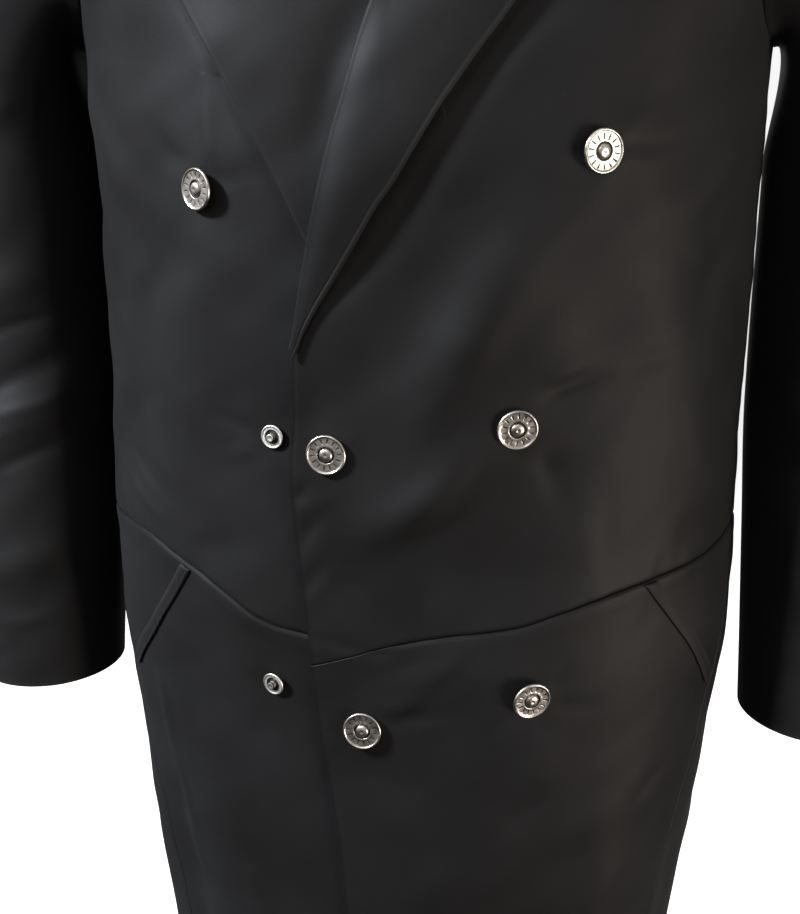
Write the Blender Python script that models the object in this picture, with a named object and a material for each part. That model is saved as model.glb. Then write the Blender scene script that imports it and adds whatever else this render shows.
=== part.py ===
"""Worn double-breasted coat as thin cloth walls on a general worn form.

Millimetres inside this file, turned to metres when a mesh is made.
Z is up, the coat's front faces -Y, the wearer's left is +X.
The form is a stack of rings: station v runs down from the neck seam, and the
angle a runs from centre front (0) through the wearer's left side (90) to the
centre back (180).  A piece is a grid of (a, v) points, moved out by its layer.
"""
import bpy
import numpy as np

for old in list(bpy.data.objects):
    bpy.data.objects.remove(old, do_unlink=True)

# Main sizes
WALL = 1.6            # thickness of a made-up cloth layer
SEAM = 0.2            # each piece stops this far from the seam line
LAYER = 1.0           # air between layers that lie over one another
HEM = 1050.0          # length of the coat below the neck seam
ARM_TOP = 90.0        # armhole: station at the shoulder tip
ARM_LOW = 240.0       # armhole: station at the underarm
ARM_FRONT = 30.0      # armhole: half width to the front, degrees
ARM_BACK = 27.0       # armhole: half width to the back, degrees
ARM_STEPS = 10        # points down each half of an armhole
SHANK_R = 3.4         # radius of the shank that carries a snap on the cloth
RIM_AIR = 0.3         # least air under a snap's rim
ARC = 2.7             # millimetres along the form for one degree, about
CHEST = 400.0         # rows of the uppers below this station reach to the waist seam
LAP = (20.0, 58.0)    # the left front comes down to the form between these angles
LAP_END = (452.0, 530.0)   # stations where its lift over the right front lessens
CALM = (30.0, 150.0)  # folds grow in between these stations
ROLL = (-75.0, -25.0, 25.0, 70.0)    # directions round a lapel's rolled fold
CREST = (-80.0, -28.0, 28.0, 75.0)   # directions round the collar's top fold
FOLD_GAP = 0.5        # a lapel's roll stands this far clear of the panel's edge
CREST_GAP = 0.35      # the same for the collar's top fold
WELT_GAP = 0.45       # a welt lies this far above the cloth
WELT_THICK = 1.3      # thickness of a welt at its long edges
WELT_CROWN = 0.5      # what a welt rises above that along its middle

# station, half width, front depth, back depth, z front, z side, z back, squareness
FORM = np.array([
    [-40.0, 71.0, 60.0, 56.0, -40.0, 30.0, 33.0, 2.0],
    [-20.0, 75.0, 66.0, 58.0, -54.0, 18.0, 13.0, 2.0],
    [0.0, 81.0, 74.0, 63.0, -70.0, 6.0, -6.0, 2.0],
    [30.0, 130.0, 94.0, 81.0, -105.0, -10.0, -24.0, 2.1],
    [60.0, 184.0, 110.0, 97.0, -135.0, -29.0, -46.0, 2.2],
    [88.0, 223.0, 118.0, 107.0, -158.0, -49.0, -71.0, 2.3],
    [120.0, 230.0, 123.0, 114.0, -180.0, -84.0, -104.0, 2.35],
    [160.0, 219.0, 130.0, 118.0, -207.0, -137.0, -149.0, 2.35],
    [200.0, 207.0, 135.0, 119.0, -231.0, -187.0, -193.0, 2.32],
    [240.0, 198.0, 139.0, 119.0, -256.0, -236.0, -237.0, 2.3],
    [300.0, 196.5, 142.0, 116.0, -302.0, -300.0, -300.0, 2.25],
    [380.0, 196.0, 140.0, 112.0, -380.0, -380.0, -380.0, 2.2],
    [440.0, 196.0, 137.0, 110.0, -440.0, -440.0, -440.0, 2.2],
    [505.0, 197.0, 139.0, 114.0, -505.0, -505.0, -505.0, 2.2],
    [565.0, 197.5, 140.0, 118.0, -565.0, -565.0, -565.0, 2.2],
    [630.0, 192.0, 139.0, 120.0, -630.0, -630.0, -630.0, 2.2],
    [700.0, 185.0, 136.0, 119.0, -700.0, -700.0, -700.0, 2.2],
    [740.0, 180.5, 134.0, 118.0, -740.0, -740.0, -740.0, 2.2],
    [821.0, 171.0, 130.0, 115.0, -821.0, -821.0, -821.0, 2.2],
    [900.0, 165.0, 127.0, 112.0, -900.0, -900.0, -900.0, 2.2],
    [1060.0, 162.0, 125.0, 110.0, -1060.0, -1060.0, -1060.0, 2.2],
])

# Soft folds of the worn cloth, ridges up and troughs down.
# angle 1, station 1, angle 2, station 2, half width, height
FOLDS = np.array([
    [18.0, 330.0, -3.0, 505.0, 26.0, 2.6],
    [34.0, 372.0, 10.0, 548.0, 22.0, -2.2],
    [40.0, 300.0, 52.0, 490.0, 24.0, 2.4],
    [72.0, 262.0, 44.0, 322.0, 14.0, 2.4],
    [74.0, 300.0, 52.0, 372.0, 14.0, -1.8],
    [60.0, 420.0, 80.0, 520.0, 20.0, -1.8],
    [-24.0, 330.0, -40.0, 500.0, 24.0, 2.2],
    [-40.0, 330.0, -56.0, 470.0, 20.0, -1.8],
    [-72.0, 262.0, -46.0, 322.0, 14.0, 2.2],
    [-75.0, 310.0, -54.0, 380.0, 14.0, -1.8],
    [-62.0, 430.0, -76.0, 520.0, 18.0, 1.6],
    [44.0, 590.0, 40.0, 1040.0, 26.0, 4.0],
    [24.0, 600.0, 20.0, 1040.0, 24.0, -3.2],
    [8.0, 650.0, 4.0, 1040.0, 20.0, 2.2],
    [70.0, 600.0, 74.0, 1040.0, 24.0, -3.0],
    [-32.0, 590.0, -28.0, 1040.0, 24.0, 3.2],
    [-48.0, 600.0, -46.0, 1040.0, 20.0, -3.2],
    [-62.0, 610.0, -66.0, 1040.0, 18.0, 2.6],
    [112.0, 260.0, 140.0, 420.0, 22.0, 3.0],
    [128.0, 250.0, 158.0, 400.0, 18.0, -2.2],
    [-110.0, 260.0, -138.0, 430.0, 22.0, 2.8],
    [-128.0, 250.0, -160.0, 380.0, 18.0, -2.2],
    [176.0, 120.0, 182.0, 470.0, 16.0, -2.6],
    [150.0, 470.0, 120.0, 545.0, 16.0, 2.0],
    [-148.0, 470.0, -118.0, 550.0, 16.0, 2.0],
    [135.0, 560.0, 132.0, 1040.0, 28.0, 5.0],
    [160.0, 570.0, 162.0, 1040.0, 24.0, -4.2],
    [182.0, 570.0, 180.0, 1040.0, 22.0, 4.0],
    [-156.0, 570.0, -160.0, 1040.0, 24.0, -4.4],
    [-132.0, 560.0, -136.0, 1040.0, 28.0, 5.0],
    [105.0, 580.0, 104.0, 1040.0, 22.0, -3.4],
    [-104.0, 580.0, -106.0, 1040.0, 22.0, -3.2],
])

# Fold line of the lapel, then the front edge: station, angle toward its own side
LEFT_EDGE = np.array([
    [0.0, 60.0], [12.0, 37.0], [30.0, 19.8], [62.0, 8.0], [107.0, 2.6],
    [157.0, 0.3], [203.0, -1.75], [250.0, -3.95], [281.0, -5.8], [309.0, -7.5],
    [355.0, -10.4], [391.0, -12.5], [397.0, -13.1], [425.0, -13.3], [452.0, -13.8],
    [470.0, -13.8], [482.0, -13.5], [523.0, -12.5], [556.0, -11.5], [598.0, -10.6],
    [624.0, -9.8], [674.0, -8.1], [719.0, -7.3], [800.0, -6.4], [1060.0, -4.0]])
RIGHT_EDGE = np.array([
    [0.0, 60.0], [12.0, 37.0], [30.0, 19.5], [62.0, 7.2], [107.0, 1.8],
    [157.0, -0.4], [203.0, -3.0], [300.0, -8.0], [400.0, -14.0], [440.0, -16.0],
    [500.0, -15.6], [556.0, -14.0], [624.0, -12.0], [719.0, -9.5], [800.0, -8.5],
    [1060.0, -6.0]])
# Outer edge of a lapel from the break up to its peak
LEFT_LAPEL = np.array([
    [396.0, -12.5], [391.0, -11.75], [383.0, -10.8], [370.0, -8.8], [352.5, -5.8],
    [333.0, -2.75], [314.0, -0.3], [299.0, 1.5], [279.0, 3.8], [255.0, 6.5], [237.0, 8.7],
    [206.0, 12.2], [175.0, 15.3], [147.0, 18.3], [120.0, 22.0], [101.0, 25.8],
    [87.0, 31.5], [75.0, 39.0]])
RIGHT_LAPEL = np.array([
    [446.0, -14.2], [434.0, -10.0], [412.0, -4.0], [387.0, 1.6], [360.0, 6.4],
    [334.0, 10.5], [310.0, 13.5], [289.0, 16.1], [261.0, 19.5], [237.0, 22.4],
    [212.0, 25.0], [182.0, 28.0], [150.0, 30.7], [120.0, 33.2], [95.0, 36.6],
    [78.0, 40.0]])
GORGE = (12.0, 37.0)          # start of the gorge seam on the fold line
NOTCH = (68.0, 28.2)          # where lapel and collar part
COLLAR_TIP = (57.0, 41.5)
# Outer edge of the collar's fall: angle, station
COLLAR_EDGE = np.array([
    [41.5, 57.0], [50.0, 47.0], [65.0, 33.5], [90.0, 23.0], [120.0, 28.0],
    [150.0, 36.0], [180.0, 39.0]])
STAND = np.array([
    [37.0, 0.6], [52.0, 1.6], [62.0, 4.5], [78.0, 13.0], [95.0, 22.0],
    [130.0, 31.0], [180.0, 34.0]])
# Waist seam: angle toward its own side, station
LEFT_WAIST = np.array([
    [-16.0, 577.0], [-10.75, 572.5], [-6.5, 567.0], [-2.0, 560.5], [1.5, 555.8],
    [8.25, 550.0], [17.5, 545.8], [20.5, 543.4], [25.75, 537.5], [33.25, 530.5],
    [42.5, 525.0], [49.5, 522.0], [60.0, 518.5], [75.5, 512.0], [90.0, 512.0]])
RIGHT_WAIST = np.array([
    [-17.0, 578.0], [-8.0, 569.0], [4.0, 560.0], [12.5, 555.0], [17.25, 552.6],
    [20.75, 548.5], [25.75, 539.5], [32.25, 529.5], [37.5, 523.6], [44.0, 517.0],
    [50.0, 513.4], [56.0, 512.0], [90.0, 512.0]])
BACK_WAIST = 512.0
# Side seam: station, angle toward its own side
LEFT_SIDE = np.array([
    [240.0, 84.0], [380.0, 80.5], [512.0, 77.0], [600.0, 71.5], [671.0, 67.0],
    [741.0, 60.5], [850.0, 57.0], [1060.0, 55.0]])
RIGHT_SIDE = np.array([
    [240.0, 84.0], [380.0, 80.5], [512.0, 76.0], [600.0, 68.0], [660.0, 62.0],
    [720.0, 56.0], [850.0, 53.0], [1060.0, 52.0]])
# Long edges of a pocket welt, from the waist seam down: station, angle toward its own side
LEFT_WELT_OUT = np.array([[525.2, 45.7], [540.5, 50.3], [552.5, 54.0], [600.0, 69.0]])
LEFT_WELT_IN = np.array([[526.2, 42.5], [540.0, 46.5], [566.0, 54.5], [605.0, 66.5]])
RIGHT_WELT_OUT = np.array([
    [525.2, 37.4], [546.0, 42.5], [571.0, 49.5], [585.5, 54.7], [603.0, 61.0]])
RIGHT_WELT_IN = np.array([
    [528.2, 35.2], [552.5, 41.0], [582.0, 49.2], [600.0, 55.7], [610.0, 59.3]])
# Snap caps on the fronts: name, angle, station, lean toward +X in degrees, lean down,
# and the height over the form's true curve at which the shank stops; the flat faces
# of the cloth lie a little lower than that curve where it bends most
CAPS = (
    ("snap_cap_1", 28.75, 287.0, 12.0, 4.0, 0.3),
    ("snap_cap_2", -28.0, 309.5, -13.0, 0.0, 0.3),
    ("snap_cap_3", -7.75, 447.5, 4.0, 2.0, 0.3),
    ("snap_cap_4", 17.75, 431.0, 0.0, 3.0, 0.3),
    ("snap_cap_5", -3.25, 609.0, 0.0, -3.0, 0.3),
    ("snap_cap_6", 21.25, 586.0, 12.0, 7.0, -0.3),
)
STUDS = (
    ("snap_stud_1", -17.0, 441.5, -3.0, 2.0, 0.3),
    ("snap_stud_2", -17.75, 587.5, -9.0, 5.0, 0.3),
)
# Turned sections above the shank, radius and height over the snap's underside
CAP_SECTION = (
    (9.6, 0.0), (11.1, 1.0), (10.6, 2.3), (9.7, 2.0),
    (4.9, 1.65), (4.3, 1.0), (3.7, 1.05), (2.7, 2.3), (0.0, 2.9))
STUD_SECTION = (
    (6.2, 0.0), (6.7, 0.7), (6.3, 1.3), (4.6, 1.1), (3.3, 0.8),
    (2.3, 0.9), (2.0, 2.2), (2.3, 3.1), (1.6, 3.6), (0.0, 3.4))
# Sleeve rings: z, inner side x, half width, half depth, centre y
SLEEVE = np.array([
    [-300.0, 202.6, 56.0, 63.0, 6.0],
    [-380.0, 202.4, 55.0, 61.5, 7.0],
    [-440.0, 202.2, 53.5, 59.0, 3.0],
    [-520.0, 205.0, 51.0, 55.5, -6.0],
    [-600.0, 208.0, 48.5, 52.0, -16.0],
    [-636.0, 209.2, 47.0, 50.5, -20.5]])
# Sleeve folds: angle round (0 outer, 90 front, 270 back), z, tilt, width, height
SLEEVE_FOLDS = np.array([
    [60.0, -392.0, 0.45, 13.0, 3.2],
    [95.0, -432.0, 0.30, 11.0, -3.0],
    [80.0, -468.0, 0.40, 12.0, 3.0],
    [40.0, -520.0, 0.50, 13.0, -2.2],
    [75.0, -560.0, 0.35, 12.0, 2.4],
    [300.0, -410.0, -0.40, 14.0, 2.2],
    [285.0, -455.0, -0.35, 12.0, -2.4],
    [300.0, -545.0, -0.45, 14.0, 2.2],
    [30.0, -250.0, 0.55, 15.0, 2.6],
    [330.0, -262.0, -0.55, 15.0, 2.4],
    [10.0, -330.0, 0.25, 14.0, -2.2]])


# Curve helpers
def curve(table, x):
    """Monotone cubic through a two-column table, first column rising."""
    xs = table[:, 0]
    ys = table[:, 1]
    h = np.diff(xs)
    d = np.diff(ys) / h
    m = np.zeros(len(xs))
    m[0] = d[0]
    m[-1] = d[-1]
    for i in range(1, len(xs) - 1):
        if d[i - 1] * d[i] > 0.0:
            w1 = 2.0 * h[i] + h[i - 1]
            w2 = h[i] + 2.0 * h[i - 1]
            m[i] = (w1 + w2) / (w1 / d[i - 1] + w2 / d[i])
    x = np.clip(np.asarray(x, float), xs[0], xs[-1])
    k = np.clip(np.searchsorted(xs, x, side="right") - 1, 0, len(h) - 1)
    t = (x - xs[k]) / h[k]
    a = 2.0 * t ** 3 - 3.0 * t ** 2 + 1.0
    b = t ** 3 - 2.0 * t ** 2 + t
    c = -2.0 * t ** 3 + 3.0 * t ** 2
    e = t ** 3 - t ** 2
    return a * ys[k] + b * h[k] * m[k] + c * ys[k + 1] + e * h[k] * m[k + 1]


def step(lo, hi, x):
    t = np.clip((np.asarray(x, float) - lo) / (hi - lo), 0.0, 1.0)
    return t * t * (3.0 - 2.0 * t)


# The worn form
def form(a, v):
    """Bare form, no folds and no layer."""
    a, v = np.broadcast_arrays(np.asarray(a, float), np.asarray(v, float))
    half, front, back, zf, zs, zb, sq = [
        curve(FORM[:, [0, k]], v) for k in range(1, 8)]
    s = np.sin(np.radians(a))
    c = np.cos(np.radians(a))
    e = 2.0 / sq
    x = half * np.sign(s) * np.abs(s) ** e
    y = np.where(c > 0.0, -front, back) * np.abs(c) ** e
    z = zs + (np.where(c > 0.0, zf, zb) - zs) * c * c
    return np.stack([x, y, z], -1)


def normal(a, v):
    """Outward direction, taken over a few millimetres so that it runs smoothly."""
    da = form(np.asarray(a) + 2.5, v) - form(np.asarray(a) - 2.5, v)
    dv = form(a, np.asarray(v) + 7.0) - form(a, np.asarray(v) - 7.0)
    n = np.cross(dv, da)
    n = n / np.linalg.norm(n, axis=-1, keepdims=True)
    return n


def folds(a, v):
    a, v = np.broadcast_arrays(np.asarray(a, float), np.asarray(v, float))
    turn = np.mod(a + 180.0, 360.0) - 180.0
    out = np.zeros(a.shape)
    for a1, v1, a2, v2, width, height in FOLDS:
        px = (np.mod(turn - a1 + 180.0, 360.0) - 180.0) * ARC
        py = v - v1
        qx = (a2 - a1) * ARC
        qy = v2 - v1
        length = np.hypot(qx, qy)
        t = (px * qx + py * qy) / (length * length)
        away = (px * qy - py * qx) / length
        sway = 0.25 * width * np.sin(3.1 * t + a1)
        along = step(-0.22, 0.25, t) * (1.0 - step(0.78, 1.2, t))
        if v2 > 1000.0:
            along = step(-0.05, 0.45, t)
        out += height * along * np.exp(-((away + sway) / width) ** 2)
    calm = step(CALM[0], CALM[1], v)
    return out * calm


def put(a, v, off):
    """Point of the worn cloth at a layer height above the form."""
    n = normal(a, v)
    d = np.asarray(off, float) + folds(a, v)
    return form(a, v) + n * d[..., None]


def lay(a, v, side=1.0):
    """Inner skin of the panels: the left front lies over the right one."""
    a, v = np.broadcast_arrays(np.asarray(a, float), np.asarray(v, float))
    if side < 0.0:
        return np.zeros(a.shape)
    over = 1.0 - step(LAP[0], LAP[1], a)
    deep = (WALL + LAYER) * (2.0 - step(LAP_END[0], LAP_END[1], v))
    return over * deep


# Mesh helpers
def skin(name, verts, faces, material):
    verts = np.asarray(verts, float)
    vol = 0.0
    for f in faces:
        p = verts[f[0]]
        for i in range(1, len(f) - 1):
            vol += np.dot(p, np.cross(verts[f[i]], verts[f[i + 1]]))
    if vol < 0.0:
        faces = [tuple(reversed(f)) for f in faces]
    mesh = bpy.data.meshes.new(name)
    mesh.from_pydata((verts * 0.001).tolist(), [], faces)
    mesh.update()
    for poly in mesh.polygons:
        poly.use_smooth = True
    ob = bpy.data.objects.new(name, mesh)
    bpy.context.scene.collection.objects.link(ob)
    mat = bpy.data.materials.new(name + "_mat")
    mat.use_nodes = True
    shader = mat.node_tree.nodes["Principled BSDF"]
    shader.inputs["Base Color"].default_value = material[0]
    shader.inputs["Roughness"].default_value = material[1]
    shader.inputs["Metallic"].default_value = material[2]
    mesh.materials.append(mat)
    return ob


CLOTH = ((0.018, 0.018, 0.019, 1.0), 0.62, 0.0)
STEEL = ((0.45, 0.43, 0.40, 1.0), 0.3, 1.0)


def sheet(name, outer, inner, wrap=False, material=CLOTH):
    """Closed thin wall between two grids of points."""
    rows, cols = outer.shape[:2]
    verts = np.concatenate([outer.reshape(-1, 3), inner.reshape(-1, 3)])
    base = rows * cols
    faces = []
    last = cols if wrap else cols - 1
    for i in range(rows - 1):
        for j in range(last):
            k = (j + 1) % cols
            p = i * cols + j
            q = i * cols + k
            r = (i + 1) * cols + k
            s = (i + 1) * cols + j
            faces.append((p, q, r, s))
            faces.append((base + s, base + r, base + q, base + p))
    for j in range(last):
        k = (j + 1) % cols
        faces.append((k, j, base + j, base + k))
        p = (rows - 1) * cols + j
        q = (rows - 1) * cols + k
        faces.append((p, q, base + q, base + p))
    if not wrap:
        for i in range(rows - 1):
            p = i * cols
            q = (i + 1) * cols
            faces.append((p, q, base + q, base + p))
            faces.append((q + cols - 1, p + cols - 1, base + p + cols - 1, base + q + cols - 1))
    return skin(name, verts, faces, material)


def turned(name, section, centre, axis, segments):
    axis = axis / np.linalg.norm(axis)
    side = np.cross(axis, [0.0, 0.0, 1.0])
    side = side / np.linalg.norm(side)
    up = np.cross(side, axis)
    verts = [centre + axis * section[0][1]]
    for r, h in section[1:-1]:
        for k in range(segments):
            t = 2.0 * np.pi * k / segments
            verts.append(centre + axis * h + side * (r * np.cos(t)) + up * (r * np.sin(t)))
    verts.append(centre + axis * section[-1][1])
    faces = []
    rings = len(section) - 2
    end = len(verts) - 1
    for k in range(segments):
        m = (k + 1) % segments
        faces.append((0, 1 + m, 1 + k))
        low = 1 + (rings - 1) * segments
        faces.append((end, low + k, low + m))
    for i in range(rings - 1):
        for k in range(segments):
            m = (k + 1) % segments
            p = 1 + i * segments
            faces.append((p + k, p + m, p + segments + m, p + segments + k))
    return skin(name, verts, faces, STEEL)


# Seam lines
def arm_line(v, half, front, grow):
    """Armhole angle at a station, half of it toward the front or the back."""
    reach = 0.5 * (ARM_LOW - ARM_TOP) + grow
    mid = 0.5 * (ARM_LOW + ARM_TOP)
    core = 90.0 - 6.0 * np.clip((v - ARM_TOP) / (ARM_LOW - ARM_TOP), 0.0, 1.0)
    bow = np.sqrt(np.clip(1.0 - ((v - mid) / reach) ** 2, 0.0, 1.0))
    turn = (half + grow * 0.4) * bow
    return core - turn if front else core + turn


def arm_stations(grow):
    mid = 0.5 * (ARM_LOW + ARM_TOP)
    reach = 0.5 * (ARM_LOW - ARM_TOP) + grow
    return mid - reach * np.cos(np.pi * np.arange(ARM_STEPS + 1) / ARM_STEPS)


UPPER = np.concatenate([
    [SEAM, 6.0, 12.0, 20.0, 30.0, 41.0, 53.0, 65.0, 77.0], arm_stations(SEAM),
    [266.0, 298.0, 332.0, 364.0, 391.0, 397.0, 426.0, 458.0, 490.0, 520.0, 550.0]])


def shift(a, v, sign):
    """Angle moved by one seam inset, found on the form itself."""
    a = np.asarray(a, float)
    here = form(a, v)
    lo = np.zeros(a.shape)
    hi = np.full(a.shape, 6.0)
    for _ in range(30):
        mid = 0.5 * (lo + hi)
        far = np.linalg.norm(form(a + sign * mid, v) - here, axis=-1)
        lo = np.where(far < SEAM, mid, lo)
        hi = np.where(far < SEAM, hi, mid)
    return a + sign * hi


def outer_limit(v, side_table, front):
    """Angle where a front (or the back) ends at shoulder, armhole and side."""
    sign = -1.0 if front else 1.0
    top = shift(np.full(v.shape, 90.0), v, sign)
    low = shift(curve(side_table, v), v, sign)
    half = ARM_FRONT if front else ARM_BACK
    arm = arm_line(v, half, front, SEAM)
    if front:
        arm = np.minimum(arm, top)
    out = np.where(v < ARM_TOP - SEAM - 0.01, top, arm)
    keep = v > ARM_LOW + SEAM + 0.01
    out = np.where(keep, low, out)
    at_low = np.abs(v - ARM_LOW - SEAM) < 0.01
    out = np.where(at_low, low, out)
    at_top = np.abs(v - ARM_TOP + SEAM) < 0.01
    out = np.where(at_top, top, out)
    return out


def waist_fit(v, waist):
    """Stations below the chest stretched so that the last one meets the waist seam."""
    pull = (waist - SEAM - CHEST) / (UPPER[-1] - CHEST)
    return np.where(v > CHEST, CHEST + (v - CHEST) * pull, v)


def front_upper(name, side, edge, waist, side_table, cols):
    v0 = UPPER
    ain = curve(edge, v0)
    aout = outer_limit(v0, side_table, True)
    s = np.linspace(0.0, 1.0, cols)
    a = ain[:, None] + (aout - ain)[:, None] * s[None, :]
    v = np.repeat(v0[:, None], cols, 1)
    for _ in range(3):
        v = waist_fit(v0[:, None], curve(waist, a))
        ain2 = curve(edge, v[:, 0])
        low = v[:, -1] > ARM_LOW + 5.0
        aout2 = np.where(low, shift(curve(side_table, v[:, -1]), v[:, -1], -1.0), aout)
        a = ain2[:, None] + (aout2 - ain2)[:, None] * s[None, :]
    base = lay(side * a, v, side)
    return sheet(name, put(side * a, v, base + WALL), put(side * a, v, base))


def front_skirt(name, side, edge, waist, side_table, cols, rows):
    t = np.linspace(0.0, 1.0, rows)
    s = np.linspace(0.0, 1.0, cols)
    a = curve(edge, 560.0) + s[None, :] * 88.0 + t[:, None] * 0.0
    for _ in range(4):
        top = curve(waist, a) + SEAM
        v = top + (HEM - top) * t[:, None]
        ain = curve(edge, v[:, 0])
        aout = shift(curve(side_table, v[:, -1]), v[:, -1], -1.0)
        a = ain[:, None] + (aout - ain)[:, None] * s[None, :]
    base = lay(side * a, v, side)
    return sheet(name, put(side * a, v, base + WALL), put(side * a, v, base))


def back_upper(name, cols):
    v0 = UPPER
    left = outer_limit(v0, LEFT_SIDE, False)
    right = 360.0 - outer_limit(v0, RIGHT_SIDE, False)
    v = waist_fit(v0, BACK_WAIST)
    low = v > ARM_LOW + 5.0
    left = np.where(low, shift(curve(LEFT_SIDE, v), v, 1.0), left)
    right = np.where(low, 360.0 - shift(curve(RIGHT_SIDE, v), v, 1.0), right)
    s = np.linspace(0.0, 1.0, cols)
    a = left[:, None] + (right - left)[:, None] * s[None, :]
    v = np.repeat(v[:, None], cols, 1)
    return sheet(name, put(a, v, WALL + 0.0 * a), put(a, v, 0.0 * a))


def back_skirt(name, cols, rows):
    v = BACK_WAIST + SEAM + (HEM - BACK_WAIST - SEAM) * np.linspace(0.0, 1.0, rows)
    left = shift(curve(LEFT_SIDE, v), v, 1.0)
    right = 360.0 - shift(curve(RIGHT_SIDE, v), v, 1.0)
    s = np.linspace(0.0, 1.0, cols)
    a = left[:, None] + (right - left)[:, None] * s[None, :]
    v = np.repeat(v[:, None], cols, 1)
    return sheet(name, put(a, v, WALL + 0.0 * a), put(a, v, 0.0 * a))


# Lapels
def lapel_grid(edge, outer, side, t, s):
    """Angles and stations of a lapel: t from the break up, s from the fold out."""
    low = outer[0, 0] - 5.0
    rv = low + (GORGE[0] - low) * t
    ra = curve(edge, rv)
    rise = outer[::-1]
    ev = outer[0, 0] + (outer[-1, 0] - outer[0, 0]) * t
    ea = curve(rise, ev)
    gv = np.interp(s, [0.0, 0.62, 1.0], [GORGE[0], NOTCH[0], outer[-1, 0]])
    ga = np.interp(s, [0.0, 0.62, 1.0], [GORGE[1] - 0.1, NOTCH[1] - 0.1, outer[-1, 1]])
    v = rv[:, None] + (ev - rv)[:, None] * s[None, :]
    a = ra[:, None] + (ea - ra)[:, None] * s[None, :]
    pull = (t ** 4)[:, None]
    v = v + pull * (gv - (GORGE[0] + (outer[-1, 0] - GORGE[0]) * s))[None, :]
    a = a + pull * (ga - (ra[-1] + (outer[-1, 1] - ra[-1]) * s))[None, :]
    return a, v


def fold_frame(a, v, side, ahead):
    """Outward normal and the in-surface direction that leaves the panel's edge."""
    p = put(side * a, v, np.zeros(a.shape))
    along = np.gradient(p, axis=0)
    n = normal(side * a, v)
    t = np.cross(n, along)
    t = t / np.linalg.norm(t, axis=-1, keepdims=True)
    inward = put(side * (a + ahead), v, np.zeros(a.shape)) - p
    flip = np.sign((t * inward).sum(-1, keepdims=True))
    return p, n, -t * flip


def lapel(name, edge, outer, side, lift_top):
    low = outer[0, 0] - 5.0
    t = np.concatenate([[low], UPPER[(UPPER < low - 6.0) & (UPPER > 11.9)][::-1]])
    t = (low - t) / (low - GORGE[0])
    s = np.array([0.0, 0.07, 0.2, 0.4, 0.62, 0.82, 1.0])
    a, v = lapel_grid(edge, outer, side, t, s)
    under = lay(side * a, v, side) + WALL
    puff = np.sin(np.pi * s ** 0.7)[None, :] ** 2
    rise = LAYER + 0.9 * puff * step(0.0, 0.2, t)[:, None]
    bell = step(0.02, 0.3, t) * (1.0 - step(0.72, 0.97, t))
    if side < 0.0:
        rise = LAYER + 0.0 * rise
        bell = (1.0 - step(215.0, 300.0, v[:, -1])) * (1.0 - step(0.8, 0.97, t))
    rise = rise + lift_top * bell[:, None] * (s ** 2.2)[None, :]
    skins = []
    for half in (0.5, -0.5):
        flat = put(side * a, v, under + rise + WALL * (0.5 + half))
        p, n, out = fold_frame(a[:, 0], v[:, 0], side, 1.0)
        near = lay(side * a[:, 0], v[:, 0], side) + 0.5 * WALL
        far = under[:, 0] + rise[:, 0] + 0.5 * WALL
        mid = 0.5 * (near + far)
        r = 0.5 * (far - near) + half * WALL
        turn = []
        for deg in ROLL:
            w = np.radians(deg)
            up = (mid + r * np.sin(w))[:, None] * n
            go = (FOLD_GAP + r * np.cos(w))[:, None] * out
            turn.append(p + up + go)
        skins.append(np.concatenate([np.stack(turn, 1), flat], 1))
    return sheet(name, skins[0], skins[1])


# Collar
def neck_station(near):
    """Neck seam: the lapel's fold line in front, then station 0 round the back."""
    return np.interp(near, [37.0, 45.0, 52.0, 60.0], [12.0, 6.2, 2.6, 0.0])


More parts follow.
